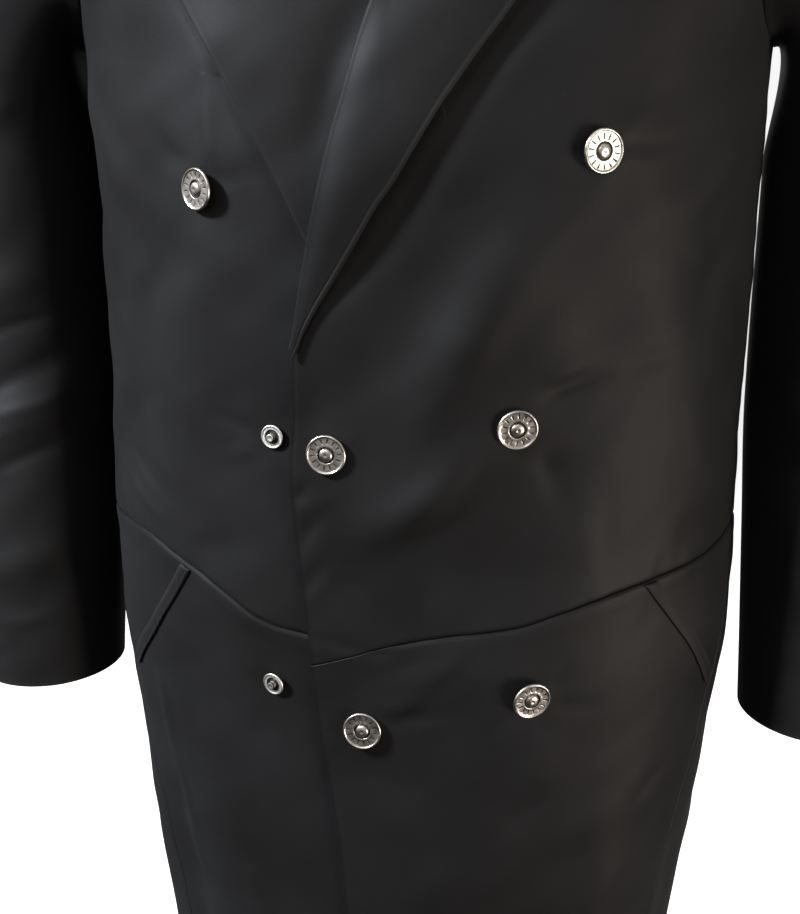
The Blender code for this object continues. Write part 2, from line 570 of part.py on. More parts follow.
def collar(name):
    w = np.array([0.0, 0.36, 0.7, 1.0])
    angles = np.array([37.15, 41.0, 46.0, 53.0, 60.0, 67.0, 75.0, 84.0, 94.0, 106.0,
                       120.0, 135.0, 150.0, 165.0, 180.0])
    full = np.concatenate([angles, 360.0 - angles[-2::-1]])
    near = np.minimum(full, 360.0 - full)
    seam_v = neck_station(near) - SEAM
    height = curve(STAND, near)
    top_v = seam_v - height
    s = np.array([0.0, 0.08, 0.22, 0.4, 0.65, 0.85, 1.0])
    gv = np.interp(s, [0.0, 0.65, 1.0], [GORGE[0], NOTCH[0], COLLAR_TIP[0]])
    ga = np.interp(s, [0.0, 0.65, 1.0], [GORGE[1], NOTCH[1], COLLAR_TIP[1]]) + 0.15
    # the outer edge starts at the tip, so its angles run ahead of the neck's
    ahead = COLLAR_TIP[1] + (near - 37.15) * (180.0 - COLLAR_TIP[1]) / (180.0 - 37.15)
    edge_v = curve(COLLAR_EDGE, ahead)
    v = top_v[:, None] + (edge_v - top_v)[:, None] * s[None, :]
    a = near[:, None] + (ahead - near)[:, None] * s[None, :]
    reach = np.clip((near - 37.15) / 50.0, 0.0, 1.0)
    pull = ((1.0 - reach) ** 3)[:, None]
    v = v + pull * (gv - (top_v[0] + (COLLAR_TIP[0] - top_v[0]) * s))[None, :]
    a = a + pull * (ga - (37.15 + (COLLAR_TIP[1] - 37.15) * s))[None, :]
    a = np.where((full > 180.0)[:, None], 360.0 - a, a)
    under = lay(a, v) + WALL
    loft = LAYER + 2.6 * step(60.0, 110.0, near)[:, None] * (1.0 - step(0.15, 0.9, s))[None, :]
    loft = loft + 0.5 * step(55.0, 90.0, near)[:, None]
    skins = []
    for half in (0.5, -0.5):
        fall = put(a, v, under + loft + WALL * (0.5 + half))
        post = []
        for k in w[:-1]:
            sv = seam_v - height * k
            post.append(put(full, sv, lay(full, sv) + WALL * (0.5 - half)))
        near_mid = lay(full, top_v) + 0.5 * WALL
        far_mid = under[:, 0] + loft[:, 0] + 0.5 * WALL
        mid = 0.5 * (near_mid + far_mid)
        r = 0.5 * (far_mid - near_mid) + half * WALL
        p = put(full, top_v, 0.0 * full)
        n = normal(full, top_v)
        up = put(full, top_v - 2.0, 0.0 * full) - p
        up = up - n * (up * n).sum(-1, keepdims=True)
        up = up / np.linalg.norm(up, axis=-1, keepdims=True)
        turn = []
        for deg in CREST:
            g = np.radians(deg)
            turn.append(p + (mid + r * np.sin(g))[:, None] * n
                        + (CREST_GAP + r * np.cos(g))[:, None] * up)
        skins.append(np.concatenate([np.stack(post, 1), np.stack(turn, 1), fall], 1))
    return sheet(name, skins[0], skins[1])


# Sleeves
def sleeve_rings(side, count_head, count_arm):
    """Middle of the sleeve's wall, rings down from the armhole, columns round it."""
    k = np.arange(ARM_STEPS + 1)
    v = arm_stations(-SEAM)
    fa = arm_line(v, ARM_FRONT, True, -SEAM)
    ba = arm_line(v, ARM_BACK, False, -SEAM)
    ring_a = np.concatenate([fa, ba[-2:0:-1]])
    ring_v = np.concatenate([v, v[-2:0:-1]])
    turn = np.concatenate([np.pi * k / ARM_STEPS, np.pi + np.pi * k[1:-1] / ARM_STEPS])
    start = put(side * ring_a, ring_v, 0.5 * WALL + 0.0 * ring_a)
    nrm = normal(side * ring_a, ring_v)
    z0, inner, hw, hd, cy = SLEEVE[0]
    outer = 0.5 + 0.5 * np.cos(turn)
    goal = np.stack([
        side * (inner + hw + hw * np.cos(turn)),
        cy - hd * np.sin(turn), np.full(turn.shape, z0)], -1)
    lead = np.stack([
        side * (0.92 - 0.10 * outer), 0.16 * (-np.sin(turn)),
        0.38 - 1.03 * outer ** 0.8], -1)
    lead = lead / np.linalg.norm(lead, axis=-1, keepdims=True)
    far = np.linalg.norm(goal - start, axis=-1)[:, None]
    one = start + lead * 0.28 * far
    two = goal + np.array([0.0, 0.0, 1.0]) * (0.32 + 0.16 * outer[:, None]) * far
    rings = []
    for t in np.linspace(0.0, 1.0, count_head) ** 1.4:
        rings.append((1 - t) ** 3 * start + 3 * t * (1 - t) ** 2 * one
                     + 3 * t * t * (1 - t) * two + t ** 3 * goal)
    top = SLEEVE[::-1]
    for z in np.linspace(SLEEVE[0, 0], SLEEVE[-1, 0], count_arm + 1)[1:]:
        inner, hw, hd, cy = [curve(top[:, [0, c]], z) for c in (1, 2, 3, 4)]
        rings.append(np.stack([
            side * (inner + hw + hw * np.cos(turn)),
            cy - hd * np.sin(turn), np.full(turn.shape, float(z))], -1))
    rings = np.array(rings)
    axis = np.roll(rings, -1, 1) - np.roll(rings, 1, 1)
    down = np.gradient(rings, axis=0)
    n = np.cross(axis, down)
    n = n / np.linalg.norm(n, axis=-1, keepdims=True)
    centre = rings.mean(1, keepdims=True)
    n = n * np.sign((n * (rings - centre)).sum(-1).mean())
    n[0] = nrm
    n[1] = n[1] + 0.6 * nrm
    n = n / np.linalg.norm(n, axis=-1, keepdims=True)
    deg = np.degrees(turn)
    height = np.zeros(rings.shape[:2])
    for at, z, tilt, width, high in SLEEVE_FOLDS:
        gap = np.mod(deg - at + 180.0, 360.0) - 180.0
        line = z + tilt * gap
        near = np.exp(-(gap / 52.0) ** 2)
        height += high * near * np.exp(-((rings[..., 2] - line) / width) ** 2)
    free = 1.0 - step(0.35, 0.8, -np.cos(turn))
    start_in = step(0.0, 5.0, np.arange(len(rings)))[:, None]
    return rings + n * (height * free * start_in)[..., None], n


def sleeve(name, side, count_head, count_arm):
    mid, n = sleeve_rings(side, count_head, count_arm)
    return sheet(name, mid + n * 0.5 * WALL, mid - n * 0.5 * WALL, wrap=True)


# Pockets, snaps
def welt(name, side, outer, inner, rows):
    t = np.linspace(0.0, 1.0, rows)
    s = np.array([0.0, 0.5, 1.0])
    ov = outer[0, 0] + (outer[-1, 0] - outer[0, 0]) * t
    iv = inner[0, 0] + (inner[-1, 0] - inner[0, 0]) * t
    oa = curve(outer, ov)
    ia = curve(inner, iv)
    a = oa[:, None] + (ia - oa)[:, None] * s
    v = ov[:, None] + (iv - ov)[:, None] * s
    base = lay(side * a, v, side) + WALL + WELT_GAP
    crown = WELT_THICK + WELT_CROWN * np.sin(np.pi * s)[None, :]
    return sheet(name, put(side * a, v, base + crown), put(side * a, v, base))


def place(a, v, on_left):
    off = lay(a, v, 1.0 if on_left else -1.0) + WALL
    spots = put(np.array([a, a, a, a - 3.0, a + 3.0]),
                np.array([v, v - 8.0, v + 8.0, v, v]), np.full(5, float(off)))
    n = np.cross(spots[2] - spots[1], spots[4] - spots[3])
    n = n / np.linalg.norm(n)
    base = normal(a, v)
    return spots[0], n * np.sign(np.dot(n, base))


def snap(name, section, a, v, lean_x, lean_down, seat, segments, on_left):
    p, n = place(a, v, on_left)
    side = np.array([-n[1], n[0], 0.0])
    side = side / np.linalg.norm(side)
    side = side * np.sign(side[0])
    down = np.cross(side, n)
    down = down * np.sign(-down[2])
    axis = n + side * np.tan(np.radians(lean_x)) + down * np.tan(np.radians(lean_down))
    tilt = np.radians(np.hypot(lean_x, lean_down))
    reach = section[1][0]
    lift = max(seat, RIM_AIR) + 0.15 + reach * np.sin(tilt)
    foot = seat + SHANK_R * np.sin(tilt) - lift
    whole = ((0.0, foot), (SHANK_R, foot), (SHANK_R, 0.0)) + section
    return turned(name, whole, p + n * lift, axis, segments)


front_upper("left_front_upper", 1.0, LEFT_EDGE, LEFT_WAIST, LEFT_SIDE, 13)
front_upper("right_front_upper", -1.0, RIGHT_EDGE, RIGHT_WAIST, RIGHT_SIDE, 13)
front_skirt("left_front_skirt", 1.0, LEFT_EDGE, LEFT_WAIST, LEFT_SIDE, 13, 10)
front_skirt("right_front_skirt", -1.0, RIGHT_EDGE, RIGHT_WAIST, RIGHT_SIDE, 13, 10)
back_upper("back_upper", 21)
back_skirt("back_skirt", 21, 10)
lapel("left_lapel", LEFT_EDGE, LEFT_LAPEL, 1.0, 5.5)
lapel("right_lapel", RIGHT_EDGE, RIGHT_LAPEL, -1.0, 3.5)
collar("collar")
sleeve("left_sleeve", 1.0, 8, 8)
sleeve("right_sleeve", -1.0, 8, 8)
welt("left_pocket_welt", 1.0, LEFT_WELT_OUT, LEFT_WELT_IN, 7)
welt("right_pocket_welt", -1.0, RIGHT_WELT_OUT, RIGHT_WELT_IN, 7)
for label, angle, station, lean_x, lean_down, seat in CAPS:
    on_left = label != "snap_cap_2"
    snap(label, CAP_SECTION, angle, station, lean_x, lean_down, seat, 16, on_left)
for label, angle, station, lean_x, lean_down, seat in STUDS:
    snap(label, STUD_SECTION, angle, station, lean_x, lean_down, seat, 14, False)
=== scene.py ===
"""Looks of the worn double-breasted coat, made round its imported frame.

Lengths are millimetres in the shape functions and metres in Blender. The worn
form is the same stack of rings that the solids have: station v runs down from
the neck seam, and angle a runs from centre front (0) through the wearer's left
side (90) to the centre back (180). Every piece of cloth is a fine grid of
(a, v) points, moved out by its layer, its folds and its creases.
"""

import bpy
import numpy as np
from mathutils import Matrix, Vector


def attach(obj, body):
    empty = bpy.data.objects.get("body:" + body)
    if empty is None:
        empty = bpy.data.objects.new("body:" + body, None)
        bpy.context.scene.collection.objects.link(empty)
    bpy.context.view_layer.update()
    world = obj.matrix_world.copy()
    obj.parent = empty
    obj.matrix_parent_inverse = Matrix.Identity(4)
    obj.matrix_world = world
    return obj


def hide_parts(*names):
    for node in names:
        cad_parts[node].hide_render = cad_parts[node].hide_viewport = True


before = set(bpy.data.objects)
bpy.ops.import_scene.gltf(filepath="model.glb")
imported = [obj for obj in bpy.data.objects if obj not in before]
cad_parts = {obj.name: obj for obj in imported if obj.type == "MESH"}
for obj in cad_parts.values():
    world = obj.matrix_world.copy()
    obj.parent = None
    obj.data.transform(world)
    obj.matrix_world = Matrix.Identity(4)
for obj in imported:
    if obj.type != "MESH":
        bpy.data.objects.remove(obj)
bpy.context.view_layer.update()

# Main sizes
MM = 0.001
WALL = 1.6            # thickness of a made-up cloth layer
SEAM = 0.02           # each piece stops this far from the seam line
LAYER = 1.0           # air between layers that lie over one another
HEM = 1050.0          # length of the coat below the neck seam
ARM_TOP = 90.0        # armhole: station at the shoulder tip
ARM_LOW = 240.0       # armhole: station at the underarm
BELOW_ARM = ARM_LOW + 0.5
ARM_FRONT = 30.0      # armhole: half width to the front, degrees
ARM_BACK = 27.0       # armhole: half width to the back, degrees
ARC = 2.7             # millimetres along the form for one degree, about
CHEST = 400.0         # rows of the uppers below this station reach to the waist seam
LAST = 550.0          # the uppers' last station before it is fitted to the waist seam
LAP = (20.0, 58.0)    # the left front comes down to the form between these angles
LAP_END = (452.0, 530.0)   # stations where its lift over the right front lessens
CALM = (30.0, 150.0)  # folds grow in between these stations
LONG_FOLD = 1000.0    # a fold that ends below this station runs out through the hem
ROLL = np.linspace(-75.0, 70.0, 12)     # directions round a lapel's rolled fold
CREST = np.linspace(-80.0, 75.0, 12)    # directions round the collar's top fold
FOLD_GAP = 0.5
CREST_GAP = 0.35
SHANK_R = 3.4         # radius of the shank that carries a snap on the cloth
SEAT = 0.3            # a snap's shank stops this far above the solid cloth
GRID = 3.0            # spacing of the cloth's points
RUB_REACH = 1.6       # an edge is rubbed about this far in
SHADOW_LINE_REACH = 1.3      # half width of the painted shadow line along an edge
ROUND = 0.8           # radius of a turned cloth edge
SKIRT_TOP = 540.0     # station near which the front skirts begin
ARM_ROWS = 64         # rows of an upper beside the armhole
UPPER_COLS = 92
SKIRT_COLS = 78
BACK_COLS = 120
SKIRT_WIDTH = (235.0, 225.0)   # a front skirt at the waist and at the hem
SKIRT_TURN = 88.0     # degrees from its front edge to its side, to begin with
WELT_WIDTH = 9.0
WELT_COLS = 14
SLEEVE_COLS = 60      # half of those round a sleeve
SLEEVE_ROWS = (46, 108)        # in the sleeve's head and below it
# Line of stitching and the swelling beside it: distance from the edge, width, depth
STITCHING = ((2.7, 0.42, 0.24), (1.3, 0.8, -0.18))
# distances from an edge at which the grid has extra columns
BORDER = np.array([0.0, 0.08, 0.25, 0.5, 0.8, 1.5, 2.2, 2.7, 3.2, 4.2, 6.0])

# station, half width, front depth, back depth, z front, z side, z back, squareness
FORM = np.array([
    [-40, 71, 60, 56, -40, 30, 33, 2],
    [-20, 75, 66, 58, -54, 18, 13, 2],
    [0, 81, 74, 63, -70, 6, -6, 2],
    [30, 130, 94, 81, -105, -10, -24, 2.1],
    [60, 184, 110, 97, -135, -29, -46, 2.2],
    [88, 223, 118, 107, -158, -49, -71, 2.3],
    [120, 230, 123, 114, -180, -84, -104, 2.35],
    [160, 219, 130, 118, -207, -137, -149, 2.35],
    [200, 207, 135, 119, -231, -187, -193, 2.32],
    [240, 198, 139, 119, -256, -236, -237, 2.3],
    [300, 196.5, 142, 116, -302, -300, -300, 2.25],
    [380, 196, 140, 112, -380, -380, -380, 2.2],
    [440, 196, 137, 110, -440, -440, -440, 2.2],
    [505, 197, 139, 114, -505, -505, -505, 2.2],
    [565, 197.5, 140, 118, -565, -565, -565, 2.2],
    [630, 192, 139, 120, -630, -630, -630, 2.2],
    [700, 185, 136, 119, -700, -700, -700, 2.2],
    [740, 180.5, 134, 118, -740, -740, -740, 2.2],
    [821, 171, 130, 115, -821, -821, -821, 2.2],
    [900, 165, 127, 112, -900, -900, -900, 2.2],
    [1060, 162, 125, 110, -1060, -1060, -1060, 2.2],
])

# Large soft folds, the same as the solids have.
# angle 1, station 1, angle 2, station 2, half width, height
FOLDS = np.array([
    [18, 330, -3, 505, 26, 2.6],
    [34, 372, 10, 548, 22, -2.2],
    [40, 300, 52, 490, 24, 2.4],
    [72, 262, 44, 322, 14, 2.4],
    [74, 300, 52, 372, 14, -1.8],
    [60, 420, 80, 520, 20, -1.8],
    [-24, 330, -40, 500, 24, 2.2],
    [-40, 330, -56, 470, 20, -1.8],
    [-72, 262, -46, 322, 14, 2.2],
    [-75, 310, -54, 380, 14, -1.8],
    [-62, 430, -76, 520, 18, 1.6],
    [44, 590, 40, 1040, 26, 4],
    [24, 600, 20, 1040, 24, -3.2],
    [8, 650, 4, 1040, 20, 2.2],
    [70, 600, 74, 1040, 24, -3],
    [-32, 590, -28, 1040, 24, 3.2],
    [-48, 600, -46, 1040, 20, -3.2],
    [-62, 610, -66, 1040, 18, 2.6],
    [112, 260, 140, 420, 22, 3],
    [128, 250, 158, 400, 18, -2.2],
    [-110, 260, -138, 430, 22, 2.8],
    [-128, 250, -160, 380, 18, -2.2],
    [176, 120, 182, 470, 16, -2.6],
    [150, 470, 120, 545, 16, 2],
    [-148, 470, -118, 550, 16, 2],
    [135, 560, 132, 1040, 28, 5],
    [160, 570, 162, 1040, 24, -4.2],
    [182, 570, 180, 1040, 22, 4],
    [-156, 570, -160, 1040, 24, -4.4],
    [-132, 560, -136, 1040, 28, 5],
    [105, 580, 104, 1040, 22, -3.4],
    [-104, 580, -106, 1040, 22, -3.2],
])

# Creases placed one by one, ridges up and troughs down.
# angle 1, station 1, angle 2, station 2, half width, height, lean, peak
# lean makes one flank steeper; peak says where along it the crease is highest
CREASES = np.array([
    # left front: the long slanting ridges below the lapel, and the dark hollow by it
    [18.6, 312, 3.6, 450, 14, 6.2, -0.1, 0.5],
    [12, 436, -4, 508, 8.5, 5, -0.15, 0.5],
    [9, 300, -5.5, 452, 22, -5.6, 0, 0.5],
    [12.5, 545, 0, 604, 7, 2.2, -0.4, 0.5],
    [-10, 380, -10.6, 450, 6, -1.4, 0.2, 0.5],
    [-13.2, 477, -9.8, 461, 3, -1.6, 0.3, 0.3],
    [-12.7, 506, -7, 472, 3.4, -1.8, 0.3, 0.4],
    [-12.3, 533, -7.6, 507, 3.6, -1.6, 0.3, 0.4],
    [-11.5, 488, -5.5, 466, 4, 1, 0, 0.4],
    # left front: drag lines from its snaps
    [21, 417, 35, 401, 4.6, -1.4, 0.3, 0.3],
    [21, 407, 34, 391, 5, 0.9, 0, 0.3],
    [34, 403, 50, 389, 5.4, -1.2, 0.2, 0.5],
    [21, 446, 27.5, 484, 6, -1, 0.2, 0.2],
    [28.5, 452, 31.2, 540, 6, 0.3, 0.2, 0.5],
    [33, 465, 34.5, 530, 5, -0.35, 0.2, 0.5],
    [29, 288, 19, 291, 5, -0.7, 0.2, 0.2],
    [31, 286, 47, 281, 5, -0.6, 0.2, 0.2],
    [31.5, 282, 41, 258, 6, 0.5, 0.2, 0.3],
    [31, 295, 38, 330, 7, -0.8, 0.2, 0.2],
    [-6, 447, -3.5, 430, 3, 0.8, 0.2, 0.3],
    [44, 330, 58, 352, 8, 0.9, 0.2, 0.5],
    [50, 420, 60, 470, 9, 0.9, 0.2, 0.5],
    [46, 505, 40, 527, 5, 0.8, 0.2, 0.7],
    # right front
    [-1.5, 150, -8.5, 300, 7, -2.6, 0, 0.6],
    [-25.8, 232, -25.5, 298, 3.4, 1.2, 0.2, 0.75],
    [-28.8, 322, -30, 420, 10, 1, 0.2, 0.3],
    [-35, 330, -47, 392, 11, -0.9, 0.2, 0.3],
    [-58, 400, -48, 486, 13, -2, 0.2, 0.5],
    [-28, 305, -16, 297, 6, -0.8, 0.2, 0.2],
    [-30.5, 300, -40, 268, 7, -0.8, 0.2, 0.3],
    [-62, 474, -40, 506, 4, 1.3, 0.3, 0.4],
    [-58, 462, -38, 492, 4, -1, 0.2, 0.4],
    [-50, 448, -37, 482, 6, 0.9, 0.2, 0.5],
    [-64, 500, -53, 520, 5, -1, 0.2, 0.5],
    [-20, 440, -30, 430, 4, -0.8, 0.2, 0.2],
    [-20.5, 446, -28, 462, 4, 0.7, 0.2, 0.2],
    [-24, 500, -36, 520, 8, -0.8, 0.2, 0.5],
    [-38, 392, -30, 470, 12, 0.8, 0.2, 0.5],
    # skirts, wearer's left
    [-1.5, 600, 8, 578, 4, 1.1, 0.2, 0.25],
    [0, 606, 12, 594, 4, -1.1, 0.2, 0.25],
    [-5.5, 620, -9, 650, 5, -0.8, 0.2, 0.2],
    [-2.5, 624, 8, 700, 14, -1.8, 0.2, 0.4],
    [24, 584, 29.5, 564, 4, -1, 0.2, 0.2],
    [20.5, 595, 11, 611, 5, -0.8, 0.2, 0.2],
    [25, 592, 37, 597, 5, -0.8, 0.2, 0.2],
    [23, 600, 25, 670, 9, 1, 0.2, 0.3],
    [55, 645, 45, 668, 5, -0.7, 0.3, 0.5],
    [52, 636, 42, 664, 8, 0.4, 0.2, 0.5],
    [34, 640, 30, 760, 10, -1, 0.2, 0.5],
    [14, 700, 17, 900, 12, 1.2, 0.2, 0.5],
    [-4, 720, -1, 980, 12, -1.2, 0.2, 0.5],
    [36, 780, 30, 1000, 12, 1.4, 0.2, 0.6],
    [52, 760, 56, 1000, 10, -1.4, 0.2, 0.6],
    # skirts, wearer's right
    [-27, 540, -14, 562, 7, 0.9, 0.2, 0.4],
    [-36, 590, -29.5, 704, 12, 1.2, 0.2, 0.4],
    [-19.5, 597, -24, 640, 6, -0.9, 0.2, 0.2],
    [-17.5, 596, -13, 622, 5, -0.6, 0.2, 0.2],
    [-47, 690, -42, 748, 4, 0.9, 0.3, 0.5],
    [-49.5, 600, -46, 674, 5, 1.1, 0.2, 0.4],
    [-46.5, 664, -41, 736, 5, 1, 0.2, 0.4],
    [-24, 660, -22, 860, 13, -1.2, 0.2, 0.5],
    [-37, 760, -33, 1000, 11, -1.2, 0.2, 0.6],
    [-15, 760, -13, 1000, 12, 1.2, 0.2, 0.6],
    # back
    [98, 272, 122, 330, 7, -1.6, 0.3, 0.3],
    [100, 258, 130, 300, 7, 1.4, 0.2, 0.3],
    [104, 320, 124, 400, 9, -1.2, 0.2, 0.4],
    [-98, 275, -125, 342, 7, -1.6, 0.3, 0.3],
    [-101, 258, -132, 306, 7, 1.4, 0.2, 0.3],
    [-105, 330, -122, 412, 9, -1.2, 0.2, 0.4],
    [122, 130, 146, 190, 10, 1.2, 0.2, 0.4],
    [-124, 130, -146, 196, 10, 1.2, 0.2, 0.4],
    [150, 70, 166, 120, 9, 0.9, 0.2, 0.5],
    [-151, 74, -168, 126, 9, 0.9, 0.2, 0.5],
    [168, 440, 140, 508, 6, -1.3, 0.3, 0.7],
    [160, 430, 128, 492, 7, 1.1, 0.2, 0.6],
    [-166, 446, -138, 508, 6, -1.3, 0.3, 0.7],
    [-158, 428, -126, 488, 7, 1.1, 0.2, 0.6],
    [176, 452, 188, 492, 6, 1, 0.2, 0.5],
    [146, 540, 141, 700, 10, -1.4, 0.2, 0.3],
    [171, 530, 172, 720, 10, 1.4, 0.2, 0.3],
    [-170, 530, -172, 760, 10, -1.2, 0.2, 0.3],
    [-146, 540, -148, 700, 10, 1.2, 0.2, 0.3],
    [120, 700, 117, 1000, 12, 1.6, 0.2, 0.6],
    [-120, 680, -118, 1000, 12, -1.6, 0.2, 0.6],
    [92, 560, 88, 760, 12, 1.2, 0.2, 0.4],
    [-90, 560, -87, 760, 12, 1.2, 0.2, 0.4],
])

# Uneven rise and fall of worn cloth, as waves over the form.
# wave length, direction in x, y, z, shift, height
RIPPLES = np.array([
    [61, 0.8, 0.3, 0.52, 0.3, 0.22],
    [47, -0.5, 0.4, 0.77, 1.9, 0.18],
    [38, 0.2, -0.6, 0.77, 4.1, 0.14],
    [83, 0.9, -0.2, -0.4, 2.7, 0.26],
    [29, -0.7, -0.5, 0.5, 5.3, 0.09],
    [23, 0.55, 0.2, -0.8, 0.9, 0.06],
])

# Fold line of the lapel, then the front edge: station, angle toward its own side
LEFT_EDGE = np.array([
    [0, 60], [12, 37], [30, 19.8], [62, 8], [107, 2.6],
    [157, 0.3], [203, -1.75], [250, -3.95], [281, -5.8], [309, -7.5],
    [355, -10.4], [391, -12.5], [397, -13.1], [425, -13.3], [452, -13.8],
    [470, -13.8], [482, -13.5], [523, -12.5], [556, -11.5], [598, -10.6],
    [624, -9.8], [674, -8.1], [719, -7.3], [800, -6.4], [1060, -4]])
RIGHT_EDGE = np.array([
    [0, 60], [12, 37], [30, 19.5], [62, 7.2], [107, 1.8],
    [157, -0.4], [203, -3], [300, -8], [400, -14], [440, -16],
    [500, -15.6], [556, -14], [624, -12], [719, -9.5], [800, -8.5],
    [1060, -6]])
# Outer edge of a lapel from the break up to its peak
LEFT_LAPEL = np.array([
    [396, -12.5], [391, -11.75], [383, -10.8], [370, -8.8], [352.5, -5.8],
    [333, -2.75], [314, -0.3], [299, 1.5], [279, 3.8], [255, 6.5], [237, 8.7],
    [206, 12.2], [175, 15.3], [147, 18.3], [120, 22], [101, 25.8],
    [87, 31.5], [75, 39]])
RIGHT_LAPEL = np.array([
    [446, -14.2], [434, -10], [412, -4], [387, 1.6], [360, 6.4],
    [334, 10.5], [310, 13.5], [289, 16.1], [261, 19.5], [237, 22.4],
    [212, 25], [182, 28], [150, 30.7], [120, 33.2], [95, 36.6],
    [78, 40]])
# A front sinks beside its lapel: depth, distance beyond the edge, half width, stations
LEFT_HOLLOW = (3.0, 3.0, 12.0, 170.0, 330.0)
RIGHT_HOLLOW = (1.8, 0.5, 6.0, 220.0, 330.0)
WELT_AIR = 0.35       # between a welt and the skirt
EDGE_ARC = 3.5        # millimetres square to a lapel's edge for one degree
# Station and angle of points of the collar and the lapels
GORGE = (12.0, 37.0)          # start of the gorge seam on the fold line
NOTCH = (68.0, 28.2)          # where lapel and collar part
COLLAR_TIP = (57.0, 41.5)
COLLAR_END = 37.15            # angle where the collar begins in front
BREAK = 5.0                   # a lapel's fold starts this far above its outer edge
# Outer edge of the collar's fall: angle, station
COLLAR_EDGE = np.array([
    [41.5, 57], [50, 47], [65, 33.5], [90, 23], [120, 28],
    [150, 36], [180, 39]])
STAND = np.array([
    [37, 0.6], [52, 1.6], [62, 4.5], [78, 13], [95, 22],
    [130, 31], [180, 34]])
# Waist seam: angle toward its own side, station
LEFT_WAIST = np.array([
    [-16, 577], [-10.75, 572.5], [-6.5, 567], [-2, 560.5], [1.5, 555.8],
    [8.25, 550], [17.5, 545.8], [20.5, 543.4], [25.75, 537.5], [33.25, 530.5],
    [42.5, 525], [49.5, 522], [60, 518.5], [75.5, 512], [90, 512]])
RIGHT_WAIST = np.array([
    [-17, 578], [-8, 569], [4, 560], [12.5, 555], [17.25, 552.6],
    [20.75, 548.5], [25.75, 539.5], [32.25, 529.5], [37.5, 523.6], [44, 517],
    [50, 513.4], [56, 512], [90, 512]])
BACK_WAIST = 512.0
# Side seam: station, angle toward its own side
LEFT_SIDE = np.array([
    [240, 84], [380, 80.5], [512, 77], [600, 71.5], [671, 67],
    [741, 60.5], [850, 57], [1060, 55]])
RIGHT_SIDE = np.array([
    [240, 84], [380, 80.5], [512, 76], [600, 68], [660, 62],
    [720, 56], [850, 53], [1060, 52]])
# Long edges of a pocket welt, from the waist seam down: station, angle toward its own side
LEFT_WELT_OUT = np.array([[525.2, 45.7], [540.5, 50.3], [552.5, 54.0], [600.0, 69.0]])
LEFT_WELT_IN = np.array([[526.2, 42.5], [540.0, 46.5], [566.0, 54.5], [605.0, 66.5]])
RIGHT_WELT_OUT = np.array([
    [525.2, 37.4], [546, 42.5], [571, 49.5], [585.5, 54.7], [603, 61]])
RIGHT_WELT_IN = np.array([
    [528.2, 35.2], [552.5, 41], [582, 49.2], [600, 55.7], [610, 59.3]])
# Snap caps on the fronts: node, angle, station, lean toward +X in degrees, lean down, turn
CAPS = (
    ("snap_cap_1", 28.75, 287.0, 12.0, 4.0, 5.0),
    ("snap_cap_2", -28.0, 309.5, -13.0, 0.0, 40.0),
    ("snap_cap_3", -7.75, 447.5, 4.0, 2.0, 17.0),
    ("snap_cap_4", 17.75, 431.0, 0.0, 3.0, 63.0),
    ("snap_cap_5", -3.25, 609.0, 0.0, -3.0, 28.0),
    ("snap_cap_6", 21.25, 586.0, 12.0, 7.0, 51.0),
)
ON_RIGHT = -20.0      # a cap at a lower angle sits on the right front
STUDS = (
    ("snap_stud_1", -17.0, 441.5, -3.0, 2.0, 0.0),
    ("snap_stud_2", -17.75, 587.5, -9.0, 5.0, 20.0),
)
# Sleeve rings: z, inner side x, half width, half depth, centre y
SLEEVE = np.array([
    [-300, 202.6, 56, 63, 6],
    [-380, 202.4, 55, 61.5, 7],
    [-440, 202.2, 53.5, 59, 3],
    [-520, 205, 51, 55.5, -6],
    [-600, 208, 48.5, 52, -16],
    [-636, 209.2, 47, 50.5, -20.5]])
FOLD_REACH = 52.0      # a sleeve fold's reach round, in degrees
# Sleeve folds: angle round (0 outer, 90 front, 270 back), z, tilt, width, height
SLEEVE_FOLDS = np.array([
    [60, -392, 0.45, 13, 3.2],
    [95, -432, 0.30, 11, -3],
    [80, -468, 0.40, 12, 3],
    [40, -520, 0.50, 13, -2.2],
    [75, -560, 0.35, 12, 2.4],
    [300, -410, -0.40, 14, 2.2],
    [285, -455, -0.35, 12, -2.4],
    [300, -545, -0.45, 14, 2.2],
    [30, -250, 0.55, 15, 2.6],
    [330, -262, -0.55, 15, 2.4],
    [10, -330, 0.25, 14, -2.2]])
# Sleeve creases: angle round, z, tilt, width, height, reach round in degrees
SLEEVE_CREASES = np.array([
    [84, -404, 0.30, 4, -1.3, 34],
    [100, -450, 0.22, 4, 1.2, 30],
    [66, -446, 0.55, 5, -1.2, 26],
    [92, -486, 0.35, 4.5, -1.2, 30],
    [50, -556, 0.50, 6, -1, 30],
    [92, -590, 0.20, 5, 0.9, 28],
    [60, -620, 0.35, 6, -0.8, 30],
    [300, -432, -0.30, 5, -1.1, 30],
    [270, -500, -0.25, 5, 1, 30],
    [312, -590, -0.40, 6, -0.9, 30],
    [52, -226, 0.60, 6, -1.2, 26],
    [310, -232, -0.60, 6, -1.2, 26],
    [76, -286, 0.50, 6, 1.2, 30],
    [288, -300, -0.50, 6, 1.2, 30],
    [350, -470, 0.15, 9, 0.9, 40],
    [20, -580, 0.25, 9, 0.8, 40]])

